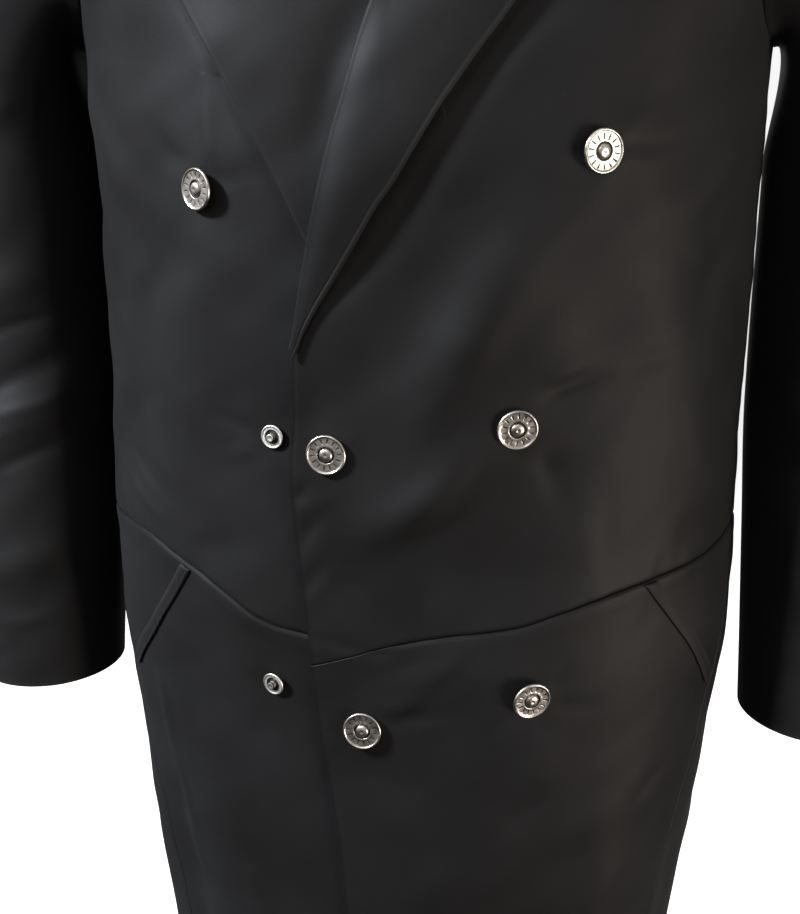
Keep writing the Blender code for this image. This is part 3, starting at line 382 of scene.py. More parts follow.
# Flat cut of each piece in metres: width, length, share of that rectangle.
# Then what it hangs from or lies on.
CUT = {
    "left_front_upper": (0.31, 0.70, 0.64, ("back_upper", "right_front_upper")),
    "right_front_upper": (0.31, 0.70, 0.64, ("back_upper",)),
    "left_front_skirt": (0.29, 0.55, 0.67, ("left_front_upper",)),
    "right_front_skirt": (0.30, 0.55, 0.63, ("right_front_upper",)),
    "back_upper": (0.59, 0.54, 0.88, ()),
    "back_skirt": (0.65, 0.55, 0.95, ("back_upper",)),
    "left_lapel": (0.13, 0.38, 0.43, ("left_front_upper",)),
    "right_lapel": (0.14, 0.43, 0.60, ("right_front_upper",)),
    "collar": (0.60, 0.14, 0.51, ("back_upper", "left_front_upper", "right_front_upper")),
    "left_sleeve": (0.53, 0.63, 0.59, ("left_front_upper", "back_upper")),
    "right_sleeve": (0.53, 0.63, 0.59, ("right_front_upper", "back_upper")),
    "left_pocket_welt": (0.010, 0.105, 0.95, ("left_front_skirt",)),
    "right_pocket_welt": (0.010, 0.105, 0.95, ("right_front_skirt",)),
}


# Curve helpers
def curve(table, x):
    """Monotone cubic through a two-column table, first column rising."""
    xs = table[:, 0]
    ys = table[:, 1]
    h = np.diff(xs)
    d = np.diff(ys) / h
    m = np.zeros(len(xs))
    m[0] = d[0]
    m[-1] = d[-1]
    for i in range(1, len(xs) - 1):
        if d[i - 1] * d[i] > 0.0:
            w1 = 2.0 * h[i] + h[i - 1]
            w2 = h[i] + 2.0 * h[i - 1]
            m[i] = (w1 + w2) / (w1 / d[i - 1] + w2 / d[i])
    x = np.clip(np.asarray(x, float), xs[0], xs[-1])
    k = np.clip(np.searchsorted(xs, x, side="right") - 1, 0, len(h) - 1)
    t = (x - xs[k]) / h[k]
    a = 2.0 * t ** 3 - 3.0 * t ** 2 + 1.0
    b = t ** 3 - 2.0 * t ** 2 + t
    c = -2.0 * t ** 3 + 3.0 * t ** 2
    e = t ** 3 - t ** 2
    return a * ys[k] + b * h[k] * m[k] + c * ys[k + 1] + e * h[k] * m[k + 1]


def step(lo, hi, x):
    t = np.clip((np.asarray(x, float) - lo) / (hi - lo), 0.0, 1.0)
    return t * t * (3.0 - 2.0 * t)


def turn_of(a):
    """Angle brought into -180 to 180."""
    return np.mod(a + 180.0, 360.0) - 180.0


def unit(p):
    return p / np.linalg.norm(p, axis=-1, keepdims=True)


def along_line(a1, v1, a2, v2, turn, v):
    """Share of the way along a line over the form, and distance to its side."""
    px = turn_of(turn - a1) * ARC
    py = v - v1
    qx = (a2 - a1) * ARC
    qy = v2 - v1
    length = np.hypot(qx, qy)
    return (px * qx + py * qy) / (length * length), (px * qy - py * qx) / length


# The worn form
def form(a, v):
    """Bare form, no folds and no layer."""
    a, v = np.broadcast_arrays(np.asarray(a, float), np.asarray(v, float))
    half, front, back, zf, zs, zb, sq = [
        curve(FORM[:, [0, k]], v) for k in range(1, 8)]
    s = np.sin(np.radians(a))
    c = np.cos(np.radians(a))
    e = 2.0 / sq
    x = half * np.sign(s) * np.abs(s) ** e
    y = np.where(c > 0.0, -front, back) * np.abs(c) ** e
    z = zs + (np.where(c > 0.0, zf, zb) - zs) * c * c
    return np.stack([x, y, z], -1)


def normal(a, v):
    """Outward direction, taken over a few millimetres so that it runs smoothly."""
    da = form(np.asarray(a) + 2.5, v) - form(np.asarray(a) - 2.5, v)
    dv = form(a, np.asarray(v) + 7.0) - form(a, np.asarray(v) - 7.0)
    return unit(np.cross(dv, da))


def folds(a, v):
    """The solids' own folds."""
    a, v = np.broadcast_arrays(np.asarray(a, float), np.asarray(v, float))
    turn = turn_of(a)
    out = np.zeros(a.shape)
    for a1, v1, a2, v2, width, height in FOLDS:
        t, away = along_line(a1, v1, a2, v2, turn, v)
        sway = 0.25 * width * np.sin(3.1 * t + a1)
        along = step(-0.22, 0.25, t) * (1.0 - step(0.78, 1.2, t))
        if v2 > LONG_FOLD:
            along = step(-0.05, 0.45, t)
        out += height * along * np.exp(-((away + sway) / width) ** 2)
    return out * step(CALM[0], CALM[1], v)


def creases(a, v):
    """Fine creases of the cloth, quiet beside each snap, which pins it down."""
    turn = turn_of(a)
    out = np.zeros(a.shape)
    for a1, v1, a2, v2, width, height, lean, peak in CREASES:
        t, away = along_line(a1, v1, a2, v2, turn, v)
        away = away + 0.3 * width * np.sin(4.0 * t + 0.7 * v1)
        flank = width * np.where(away > 0.0, 1.0 + lean, 1.0 - lean)
        along = step(-0.08, peak, t) * (1.0 - step(peak, 1.08, t))
        out += height * along * np.exp(-(away / flank) ** 2)
    p = form(a, v)
    for length, dx, dy, dz, shift_by, height in RIPPLES:
        along = (p[..., 0] * dx + p[..., 1] * dy + p[..., 2] * dz) * 2.0 * np.pi / length
        out += height * np.sin(along + shift_by + 0.8 * np.sin(along * 0.37))
    press = np.ones(a.shape)
    dimple = np.zeros(a.shape)
    for _, ca, cv, _, _, _ in CAPS + STUDS:
        off = np.hypot(turn_of(turn - ca) * ARC * 1.15, v - cv)
        press = press * step(5.0, 15.0, off)
        dimple -= 0.7 * np.exp(-(off / 8.5) ** 2)
    return (out * press + dimple) * step(10.0, 60.0, v)


def seams(a, v):
    """Valley, pressed allowance and pucker beside the waist and side seams."""
    turn = turn_of(a)
    near = np.abs(turn)
    left = turn > 0.0
    side = np.where(left, curve(LEFT_SIDE, v), curve(RIGHT_SIDE, v))
    side = np.where(v < ARM_LOW, 90.0, side)
    front_waist = np.where(left, curve(LEFT_WAIST, turn), curve(RIGHT_WAIST, -turn))
    below = v - np.where(near < side, front_waist, BACK_WAIST)
    beside = (near - side) * ARC
    over_hip = turn * ARC
    out = -0.6 * np.exp(-(below / 1.8) ** 2)
    out += 0.35 * step(0.0, 2.5, below) * (1.0 - step(8.0, 11.0, below))
    pull = np.sin(over_hip / 2.6 + 1.7 * np.sin(over_hip / 19.0))
    out += 0.16 * pull * np.exp(-np.abs(below) / 9.0)
    along = np.sin(v / 3.0 + 1.9 * np.sin(v / 23.0))
    free = step(ARM_LOW - 4.0, ARM_LOW + 20.0, v)
    out += free * 0.14 * along * np.exp(-np.abs(beside) / 8.0)
    out += free * 0.3 * step(0.0, 2.5, beside) * (1.0 - step(8.0, 11.0, beside))
    return out


def put(a, v, off):
    """Point of the worn cloth at a layer height above the form."""
    a, v, off = np.broadcast_arrays(
        np.asarray(a, float), np.asarray(v, float), np.asarray(off, float))
    n = normal(a, v)
    d = off + folds(a, v) + creases(a, v) + seams(a, v)
    return form(a, v) + n * d[..., None]


def put_solid(a, v, off):
    """The same point on the solid cloth, without the fine form."""
    n = normal(a, v)
    d = np.asarray(off, float) + folds(a, v)
    return form(a, v) + n * d[..., None]


def lay(a, v, side=1.0):
    """Inner skin of the panels: the left front lies over the right one."""
    a, v = np.broadcast_arrays(np.asarray(a, float), np.asarray(v, float))
    if side < 0.0:
        return np.zeros(a.shape)
    over = 1.0 - step(LAP[0], LAP[1], a)
    deep = (WALL + LAYER) * (2.0 - step(LAP_END[0], LAP_END[1], v))
    return over * deep


def hollow(a, v, side):
    """How far a front sinks along its lapel's outer edge."""
    table, (depth, centre, width, top, low) = (
        (LEFT_LAPEL, LEFT_HOLLOW) if side > 0.0 else (RIGHT_LAPEL, RIGHT_HOLLOW))
    beyond = (a - curve(table[::-1], v)) * EDGE_ARC
    along = step(top - 60.0, top, v) * (1.0 - step(low, low + 55.0, v))
    return depth * along * np.exp(-((beyond - centre) / width) ** 2)


# Grids and meshes
def spread(width, count):
    """Shares from 0 to 1 across a row, with extra columns beside both its edges."""
    width = np.asarray(width, float)[:, None]
    scale = np.minimum(1.0, width / (4.0 * BORDER[-1]))
    near = BORDER[None, :] * scale / width
    mid = np.linspace(0.0, 1.0, count)[None, 1:-1]
    inner = near[:, -1:] + (1.0 - 2.0 * near[:, -1:]) * mid
    return np.concatenate([near, inner, 1.0 - near[:, ::-1]], 1)


def rows_between(lo, hi, spacing=GRID):
    """Stations from lo to hi, with extra rows beside both ends."""
    inner = np.arange(lo + BORDER[-1], hi - BORDER[-1], spacing)[1:]
    return np.concatenate([lo + BORDER, inner, hi - BORDER[::-1]])


def row_width(first, last, v):
    """Length over the form from one angle to another, for each row."""
    s = np.linspace(0.0, 1.0, 25)
    a = first[:, None] + (last - first)[:, None] * s
    p = form(a, np.repeat(v[:, None], len(s), 1))
    return np.linalg.norm(np.diff(p, axis=1), axis=-1).sum(1)


def edge_gaps(mid, wrap):
    """Distance of each grid point to its row's and its column's two ends."""
    down = np.linalg.norm(np.diff(mid, axis=0), axis=-1)
    zero = np.zeros((1, mid.shape[1]))
    top = np.concatenate([zero, np.cumsum(down, 0)])
    bottom = top[-1:] - top
    if wrap:
        far = np.full(mid.shape[:2], 1000.0)
        return top, bottom, far, far
    across = np.linalg.norm(np.diff(mid, axis=1), axis=-1)
    zero = np.zeros((mid.shape[0], 1))
    left = np.concatenate([zero, np.cumsum(across, 1)], 1)
    right = left[:, -1:] - left
    return top, bottom, left, right


def cloth(node, outer, inner, material, wrap=False, worn=(0.3, 0.3, 0.3, 0.3), stitch=()):
    """Closed piece of cloth between two grids of points, with rounded edges.

    worn gives how much rubbing greys its top, bottom, first and last edge, below zero how dark
    a painted shadow line along it is, and stitch names the edges with a line of stitching just
    inside them.
    """
    mid = 0.5 * (outer + inner)
    half = 0.5 * (outer - inner)
    gaps = edge_gaps(mid, wrap)
    nearest = np.minimum.reduce(gaps)
    share = np.clip(nearest / ROUND, 0.0, 1.0)
    swell = np.sqrt(np.clip(1.0 - (1.0 - share) ** 2, 0.0, 1.0))
    rubbed_and_shaded = np.zeros(mid.shape[:2])
    for gap, amount in zip(gaps, worn):
        rubbed_and_shaded = np.maximum(rubbed_and_shaded, amount * np.exp(-gap / RUB_REACH))
    # below zero the value paints shade: a dark shadow line along that edge
    for gap, amount in zip(gaps, worn):
        rubbed_and_shaded += min(amount, 0.0) * np.exp(-(gap / SHADOW_LINE_REACH) ** 2)
    sunk = np.zeros(mid.shape[:2])
    for k in stitch:
        for at, width, deep in STITCHING:
            sunk += deep * np.exp(-((gaps[k] - at) / width) ** 2)
    out = half / np.maximum(np.linalg.norm(half, axis=-1, keepdims=True), 1e-6)
    top = mid + half * swell[..., None] - out * (sunk * swell)[..., None]
    low = mid - half * swell[..., None]
    return close_grid(node, top, low, gaps, rubbed_and_shaded, material, wrap)


def close_grid(node, top, low, gaps, rubbed_and_shaded, material, wrap):
    """Mesh of two skins that share their border points."""
    rows, cols = top.shape[:2]
    index = np.arange(rows * cols).reshape(rows, cols)
    under = index + rows * cols
    under[0] = index[0]
    under[-1] = index[-1]
    if not wrap:
        under[:, 0] = index[:, 0]
        under[:, -1] = index[:, -1]
    verts = np.concatenate([top.reshape(-1, 3), low.reshape(-1, 3)])
    right = np.roll(index, -1, 1)
    under_right = np.roll(under, -1, 1)
    last = cols if wrap else cols - 1
    upper = np.stack([index[:-1], right[:-1], right[1:], index[1:]], -1)[:, :last]
    lower = np.stack([under[1:], under_right[1:], under_right[:-1], under[:-1]], -1)[:, :last]
    faces = np.concatenate([upper.reshape(-1, 4), lower.reshape(-1, 4)])
    used = np.unique(faces)
    renumber = np.zeros(len(verts), int)
    renumber[used] = np.arange(len(used))
    faces = renumber[faces]
    verts = verts[used]
    if signed_volume(verts, faces) < 0.0:
        faces = faces[:, ::-1]
    mesh = bpy.data.meshes.new(node + "_cloth")
    mesh.from_pydata((verts * MM).tolist(), [], faces.tolist())
    mesh.polygons.foreach_set("use_smooth", [True] * len(mesh.polygons))
    across = gaps[2] if not wrap else np.cumsum(np.pad(np.linalg.norm(
        np.diff(top, axis=1), axis=-1), ((0, 0), (1, 0))), 1)
    flat = np.stack([across, gaps[0]], -1).reshape(-1, 2)
    flat = np.concatenate([flat, flat])[used] * MM
    layer = mesh.uv_layers.new(name="cloth_metres")
    corner = np.zeros(len(mesh.loops), int)
    mesh.loops.foreach_get("vertex_index", corner)
    layer.data.foreach_set("uv", flat[corner].ravel())
    # this attribute holds edge wear above zero and painted shadow lines below zero
    wear_and_shade = mesh.attributes.new("wear_and_shade", "FLOAT", "POINT")
    both = np.concatenate([rubbed_and_shaded.ravel(), rubbed_and_shaded.ravel()])[used]
    wear_and_shade.data.foreach_set("value", both)
    mesh.update()
    mesh.materials.append(material)
    return new_object(node + "_cloth", mesh)


def new_object(name, data):
    ob = bpy.data.objects.new(name, data)
    bpy.context.scene.collection.objects.link(ob)
    return ob


def signed_volume(verts, faces):
    p, q, r, s = [verts[faces[:, k]] for k in range(4)]
    return (p * np.cross(q, r)).sum() + (p * np.cross(r, s)).sum()


# Seam lines
def arm_line(v, half, front, grow):
    """Armhole angle at a station, half of it toward the front or the back."""
    reach = 0.5 * (ARM_LOW - ARM_TOP) + grow
    mid = 0.5 * (ARM_LOW + ARM_TOP)
    core = 90.0 - 6.0 * np.clip((v - ARM_TOP) / (ARM_LOW - ARM_TOP), 0.0, 1.0)
    bow = np.sqrt(np.clip(1.0 - ((v - mid) / reach) ** 2, 0.0, 1.0))
    turn = (half + grow * 0.4) * bow
    return core - turn if front else core + turn


def arm_stations(grow, count):
    mid = 0.5 * (ARM_LOW + ARM_TOP)
    reach = 0.5 * (ARM_LOW - ARM_TOP) + grow
    return mid - reach * np.cos(np.pi * np.arange(count + 1) / count)


def upper_stations():
    """Rows of an upper: neck to shoulder tip, armhole, chest to waist."""
    neck = np.concatenate([SEAM + BORDER, np.arange(9.0, ARM_TOP - 2.0, GRID)])
    arm = arm_stations(SEAM, ARM_ROWS)
    low = np.arange(ARM_LOW + 3.0, LAST - BORDER[-1], GRID)
    return np.concatenate([neck, arm, low, LAST - BORDER[::-1]])


def shift(a, v, sign):
    """Angle moved by one seam inset, found on the form itself."""
    a = np.asarray(a, float)
    here = form(a, v)
    lo = np.zeros(a.shape)
    hi = np.full(a.shape, 6.0)
    for _ in range(30):
        mid = 0.5 * (lo + hi)
        far = np.linalg.norm(form(a + sign * mid, v) - here, axis=-1)
        lo = np.where(far < SEAM, mid, lo)
        hi = np.where(far < SEAM, hi, mid)
    return a + sign * hi


def outer_limit(v, side_table, front):
    """Angle where a front (or the back) ends at shoulder, armhole and side."""
    sign = -1.0 if front else 1.0
    top = shift(np.full(v.shape, 90.0), v, sign)
    low = shift(curve(side_table, v), v, sign)
    half = ARM_FRONT if front else ARM_BACK
    arm = arm_line(v, half, front, SEAM)
    if front:
        arm = np.minimum(arm, top)
    out = np.where(v < ARM_TOP - SEAM + 0.001, top, arm)
    return np.where(v > ARM_LOW + SEAM - 0.001, low, out)


def waist_fit(v, waist):
    """Stations below the chest stretched so that the last one meets the waist seam."""
    pull = (waist - SEAM - CHEST) / (LAST - CHEST)
    return np.where(v > CHEST, CHEST + (v - CHEST) * pull, v)


# Panels
def wall(node, a, v, base, material, worn, stitch=()):
    """Panel of one thickness, its inner skin at a height above the form."""
    return cloth(node, put(a, v, base + WALL), put(a, v, base), material, worn=worn, stitch=stitch)


def front_upper(node, side, edge, waist, side_table, material):
    v0 = upper_stations()
    ain = curve(edge, v0)
    aout = outer_limit(v0, side_table, True)
    s = spread(row_width(ain, aout, v0), UPPER_COLS)
    a = ain[:, None] + (aout - ain)[:, None] * s
    for _ in range(4):
        v = waist_fit(v0[:, None], curve(waist, a))
        ain2 = curve(edge, v[:, 0])
        low = v[:, -1] > BELOW_ARM
        aout2 = np.where(low, shift(curve(side_table, v[:, -1]), v[:, -1], -1.0), aout)
        a = ain2[:, None] + (aout2 - ain2)[:, None] * s
    base = lay(side * a, v, side) - hollow(a, v, side)
    # painted shadow lines along the waist seam and the front edge, and lightly along shoulder,
    # armhole and side
    return wall(node, side * a, v, base, material, (0.1, -0.9, -0.8, -0.3), (2,))


def front_skirt(node, side, edge, waist, side_table, material):
    v0 = rows_between(0.0, HEM - SKIRT_TOP)
    t = v0 / v0[-1]
    s = spread(np.linspace(*SKIRT_WIDTH, len(t)), SKIRT_COLS)
    a = curve(edge, SKIRT_TOP + 20.0) + s * SKIRT_TURN
    for _ in range(5):
        top = curve(waist, a) + SEAM
        v = top + (HEM - top) * t[:, None]
        ain = curve(edge, v[:, 0])
        aout = shift(curve(side_table, v[:, -1]), v[:, -1], -1.0)
        a = ain[:, None] + (aout - ain)[:, None] * s
    # painted shadow lines along the waist seam, the front edge and the side seam; the hem is worn
    # paler
    return wall(node, side * a, v, lay(side * a, v, side), material, (-0.8, 0.8, -0.8, -0.3), (2,))


def back_wall(node, left, right, v, material, worn):
    s = spread(row_width(left, right, v), BACK_COLS)
    a = left[:, None] + (right - left)[:, None] * s
    return wall(node, a, np.repeat(v[:, None], s.shape[1], 1), 0.0, material, worn)


def back_upper(node, material):
    v0 = upper_stations()
    left = outer_limit(v0, LEFT_SIDE, False)
    right = 360.0 - outer_limit(v0, RIGHT_SIDE, False)
    v = waist_fit(v0, BACK_WAIST)
    low = v > BELOW_ARM
    left = np.where(low, shift(curve(LEFT_SIDE, v), v, 1.0), left)
    right = np.where(low, 360.0 - shift(curve(RIGHT_SIDE, v), v, 1.0), right)
    return back_wall(node, left, right, v, material, (0.1, 0.2, 0.2, 0.2))


def back_skirt(node, material):
    v = rows_between(BACK_WAIST + SEAM, HEM)
    left = shift(curve(LEFT_SIDE, v), v, 1.0)
    right = 360.0 - shift(curve(RIGHT_SIDE, v), v, 1.0)
    return back_wall(node, left, right, v, material, (0.2, 0.8, 0.2, 0.2))


# Lapels
def lapel_grid(edge, outer, t, s):
    """Angles and stations of a lapel: t from the break up, s from the fold out."""
    low = outer[0, 0] - BREAK
    rv = low + (GORGE[0] - low) * t
    ra = curve(edge, rv)
    ev = outer[0, 0] + (outer[-1, 0] - outer[0, 0]) * t
    ea = curve(outer[::-1], ev)
    share = [0.0, 0.62, 1.0]
    gv = np.interp(s, share, [GORGE[0], NOTCH[0], outer[-1, 0]])
    ga = np.interp(s, share, [GORGE[1] - 0.1, NOTCH[1] - 0.1, outer[-1, 1]])
    v = rv[:, None] + (ev - rv)[:, None] * s
    a = ra[:, None] + (ea - ra)[:, None] * s
    pull = (t ** 4)[:, None]
    v = v + pull * (gv - (GORGE[0] + (outer[-1, 0] - GORGE[0]) * s))
    a = a + pull * (ga - (ra[-1] + (outer[-1, 1] - ra[-1]) * s))
    return a, v


def fold_frame(a, v, side):
    """A point of the edge, its normal, and the direction that leaves the panel."""
    p = put(side * a, v, 0.0)
    along = np.gradient(p, axis=0)
    n = normal(side * a, v)
    t = unit(np.cross(n, along))
    inward = put(side * (a + 1.0), v, 0.0) - p
    flip = np.sign((t * inward).sum(-1, keepdims=True))
    return p, n, -t * flip


def lapel(node, side, edge, outer, lift_top, material):
    low = outer[0, 0] - BREAK
    v0 = rows_between(GORGE[0], low)[::-1]
    t = (low - v0) / (low - GORGE[0])
    s = np.concatenate([np.linspace(0.0, 0.94, 44), [0.96, 0.975, 0.985, 0.992, 0.996, 0.999, 1.0]])
    s = np.repeat(s[None, :], len(t), 0)
    a, v = lapel_grid(edge, outer, t, s)
    under = lay(side * a, v, side) + WALL
    if side > 0.0:
        rise = LAYER + 0.9 * np.sin(np.pi * s ** 0.7) ** 2 * step(0.0, 0.2, t)[:, None]
        bell = step(0.02, 0.3, t) * (1.0 - step(0.72, 0.97, t))
    else:
        rise = np.full(s.shape, LAYER)
        bell = (1.0 - step(215.0, 300.0, v[:, -1])) * (1.0 - step(0.8, 0.97, t))
    rise = rise + lift_top * bell[:, None] * np.sin(0.5 * np.pi * np.clip(s / 0.85, 0.0, 1.0))
    p, n, out = fold_frame(a[:, 0], v[:, 0], side)
    near = lay(side * a[:, 0], v[:, 0], side) + 0.5 * WALL
    far = under[:, 0] + rise[:, 0] + 0.5 * WALL
    skins = []
    for half in (0.5, -0.5):
        flat = put(side * a, v, under + rise + WALL * (0.5 + half))
        turn = rolled(p, n, out, near, far, half, ROLL, FOLD_GAP)
        skins.append(np.concatenate([turn, flat], 1))
    return cloth(node, skins[0], skins[1], material, worn=(0.2, 0.1, 0.0, 0.3), stitch=(3,))


def rolled(p, n, out, near, far, half, directions, gap):
    """Round of a skin, half a wall from the middle, where cloth turns back over itself."""
    mid = 0.5 * (near + far)
    r = 0.5 * (far - near) + half * WALL
    turn = []
    for w in np.radians(directions):
        turn.append(p + (mid + r * np.sin(w))[:, None] * n + (gap + r * np.cos(w))[:, None] * out)
    return np.stack(turn, 1)


# Collar
def neck_station(near):
    """Neck seam: the lapel's fold line in front, then station 0 round the back."""
    return np.interp(near, [37.0, 45.0, 52.0, 60.0], [12.0, 6.2, 2.6, 0.0])


def collar(node, material):
    front = np.array([COLLAR_END, 37.3, 37.6, 38.0, 38.6, 39.4])
    angles = np.concatenate([front, np.arange(40.4, 60.0, 1.2), np.linspace(60.0, 180.0, 81)])
    full = np.concatenate([angles, 360.0 - angles[-2::-1]])
    near = np.minimum(full, 360.0 - full)
    seam_v = neck_station(near) - SEAM
    height = curve(STAND, near)
    top_v = seam_v - height
    s = np.concatenate([np.linspace(0.0, 0.94, 30), [0.97, 0.985, 0.993, 0.998, 1.0]])
    share = [0.0, 0.65, 1.0]
    gv = np.interp(s, share, [GORGE[0], NOTCH[0], COLLAR_TIP[0]])
    ga = np.interp(s, share, [GORGE[1], NOTCH[1], COLLAR_TIP[1]]) + 0.15
    # the outer edge starts at the tip, so its angles run ahead of the neck's
    ahead = COLLAR_TIP[1] + (near - COLLAR_END) * (180.0 - COLLAR_TIP[1]) / (180.0 - COLLAR_END)
    edge_v = curve(COLLAR_EDGE, ahead)
    v = top_v[:, None] + (edge_v - top_v)[:, None] * s[None, :]
    a = near[:, None] + (ahead - near)[:, None] * s[None, :]
    reach = np.clip((near - COLLAR_END) / 50.0, 0.0, 1.0)
    pull = ((1.0 - reach) ** 3)[:, None]
    v = v + pull * (gv - (top_v[0] + (COLLAR_TIP[0] - top_v[0]) * s))[None, :]
    a = a + pull * (ga - (COLLAR_END + (COLLAR_TIP[1] - COLLAR_END) * s))[None, :]
    a = np.where((full > 180.0)[:, None], 360.0 - a, a)
    under = lay(a, v) + WALL
    loft = LAYER + 2.6 * step(60.0, 110.0, near)[:, None] * (1.0 - step(0.15, 0.9, s))[None, :]
    loft = loft + 0.5 * step(55.0, 90.0, near)[:, None]
    p = put(full, top_v, 0.0)
    n = normal(full, top_v)
    up = put(full, top_v - 2.0, 0.0) - p
    up = unit(up - n * (up * n).sum(-1, keepdims=True))
    near_mid = lay(full, top_v) + 0.5 * WALL
    far_mid = under[:, 0] + loft[:, 0] + 0.5 * WALL
    skins = []
    for half in (0.5, -0.5):
        fall = put(a, v, under + loft + WALL * (0.5 + half))
        post = []
        for k in np.linspace(0.0, 1.0, 14)[:-1]:
            sv = seam_v - height * k
            post.append(put(full, sv, lay(full, sv) + WALL * (0.5 - half)))
        turn = rolled(p, n, up, near_mid, far_mid, half, CREST, CREST_GAP)
        skins.append(np.concatenate([np.stack(post, 1), turn, fall], 1))
    return cloth(node, skins[0], skins[1], material, worn=(0.2, 0.2, 0.1, 0.8), stitch=(3,))


# Sleeves
def sleeve_ring(side, turn, z, inner, half_width, half_depth, centre_y):
    """One level ring of a sleeve, from its outer side round by the front."""
    x = side * (inner + half_width + half_width * np.cos(turn))
    y = centre_y - half_depth * np.sin(turn)
    return np.stack([x, y, np.full(turn.shape, float(z))], -1)


def sleeve_rings(side, round_half, head_rings, arm_rings):
    """Middle of the sleeve's wall, rings down from the armhole, columns round it."""
    k = np.arange(round_half + 1)
    v = arm_stations(-SEAM, round_half)
    fa = arm_line(v, ARM_FRONT, True, -SEAM)
    ba = arm_line(v, ARM_BACK, False, -SEAM)
    ring_a = np.concatenate([fa, ba[-2:0:-1]])
    ring_v = np.concatenate([v, v[-2:0:-1]])
    turn = np.concatenate([np.pi * k / round_half, np.pi + np.pi * k[1:-1] / round_half])
    start = put(side * ring_a, ring_v, 0.5 * WALL)
    nrm = normal(side * ring_a, ring_v)
    z0, inner, hw, hd, cy = SLEEVE[0]
    outer = 0.5 + 0.5 * np.cos(turn)
    goal = sleeve_ring(side, turn, z0, inner, hw, hd, cy)
    lead = unit(np.stack([
        side * (0.92 - 0.10 * outer), 0.16 * (-np.sin(turn)),
        0.38 - 1.03 * outer ** 0.8], -1))
    far = np.linalg.norm(goal - start, axis=-1)[:, None]
    one = start + lead * 0.28 * far
    two = goal + np.array([0.0, 0.0, 1.0]) * (0.32 + 0.16 * outer[:, None]) * far
    rings = []
    steps = np.concatenate([[0.0, 0.002, 0.005, 0.01, 0.02], np.linspace(0.03, 1.0, head_rings)])
    for t in steps ** 1.4:
        rings.append((1 - t) ** 3 * start + 3 * t * (1 - t) ** 2 * one
                     + 3 * t * t * (1 - t) * two + t ** 3 * goal)
    cuff = SLEEVE[-1, 0] + BORDER[::-1]
    low = np.linspace(SLEEVE[0, 0], cuff[0] + GRID, arm_rings)[1:]
    table = SLEEVE[::-1]
    for z in np.concatenate([low, cuff]):
        inner, hw, hd, cy = [curve(table[:, [0, c]], z) for c in (1, 2, 3, 4)]
        rings.append(sleeve_ring(side, turn, z, inner, hw, hd, cy))
    rings = np.array(rings)
    place_down = np.concatenate([steps, np.ones(len(rings) - len(steps))])
    axis = np.roll(rings, -1, 1) - np.roll(rings, 1, 1)
    down = np.gradient(rings, axis=0)
    n = unit(np.cross(axis, down))
    centre = rings.mean(1, keepdims=True)
    n = n * np.sign((n * (rings - centre)).sum(-1).mean())
    hold = 2.5 * (1.0 - step(0.0, 0.2, place_down))[:, None, None]
    n = unit(n + hold * nrm)
    height = sleeve_height(rings, np.degrees(turn), place_down)
    return rings + n * height[..., None], n


def sleeve_height(rings, deg, place_down):
    """Folds, creases and small unevenness of a sleeve."""
    z = rings[..., 2]
    height = np.zeros(z.shape)
    for at, level, tilt, width, high in SLEEVE_FOLDS:
        gap = turn_of(deg - at)
        near = np.exp(-(gap / FOLD_REACH) ** 2)
        height += high * near * np.exp(-((z - level - tilt * gap) / width) ** 2)
    for at, level, tilt, width, high, reach in SLEEVE_CREASES:
        gap = turn_of(deg - at)
        near = np.exp(-(gap / reach) ** 2)
        bend = 0.35 * width * np.sin(gap / 17.0 + level)
        height += high * near * np.exp(-((z - level - tilt * gap + bend) / width) ** 2)
    for length, dx, dy, dz, shift_by, high in RIPPLES:
        along = (rings @ np.array([dx, dy, dz])) * 2.0 * np.pi / length
        height += high * np.sin(along + shift_by)
    free = 1.0 - step(0.35, 0.8, -np.cos(np.radians(deg)))
    grow = step(0.0, 0.6, place_down)[:, None]
    head = 0.5 * step(0.0, 0.02, place_down) * (1.0 - step(0.06, 0.2, place_down))
    pucker = 0.22 * np.sin(deg / 4.0 + 1.4 * np.sin(deg / 21.0))
    close = (step(0.0, 0.02, place_down) * (1.0 - step(0.02, 0.16, place_down)))[:, None]
    return height * free * grow + head[:, None] + pucker * close


def sleeve(node, side, material):
    mid, n = sleeve_rings(side, SLEEVE_COLS, *SLEEVE_ROWS)
    outer = mid + n * 0.5 * WALL
    inner = mid - n * 0.5 * WALL
    return cloth(node, outer, inner, material, wrap=True, worn=(0.2, 0.8, 0.0, 0.0))


# Pocket welts
def welt(node, side, outer_edge, inner_edge, material):
    t = rows_between(0.0, 100.0, 2.5) / 100.0
    s = spread(np.full(len(t), WELT_WIDTH), WELT_COLS)
    ov = outer_edge[0, 0] + (outer_edge[-1, 0] - outer_edge[0, 0]) * t
    iv = inner_edge[0, 0] + (inner_edge[-1, 0] - inner_edge[0, 0]) * t
    oa = curve(outer_edge, ov)
    ia = curve(inner_edge, iv)
    a = oa[:, None] + (ia - oa)[:, None] * s
    v = ov[:, None] + (iv - ov)[:, None] * s
    base = lay(side * a, v, side) + WALL + WELT_AIR
    crown = 1.4 + 0.5 * np.sin(np.pi * s)
    outer = put(side * a, v, base + crown)
    inner = put(side * a, v, base)
    return cloth(node, outer, inner, material, worn=(0.4, 0.4, 0.7, 0.7))


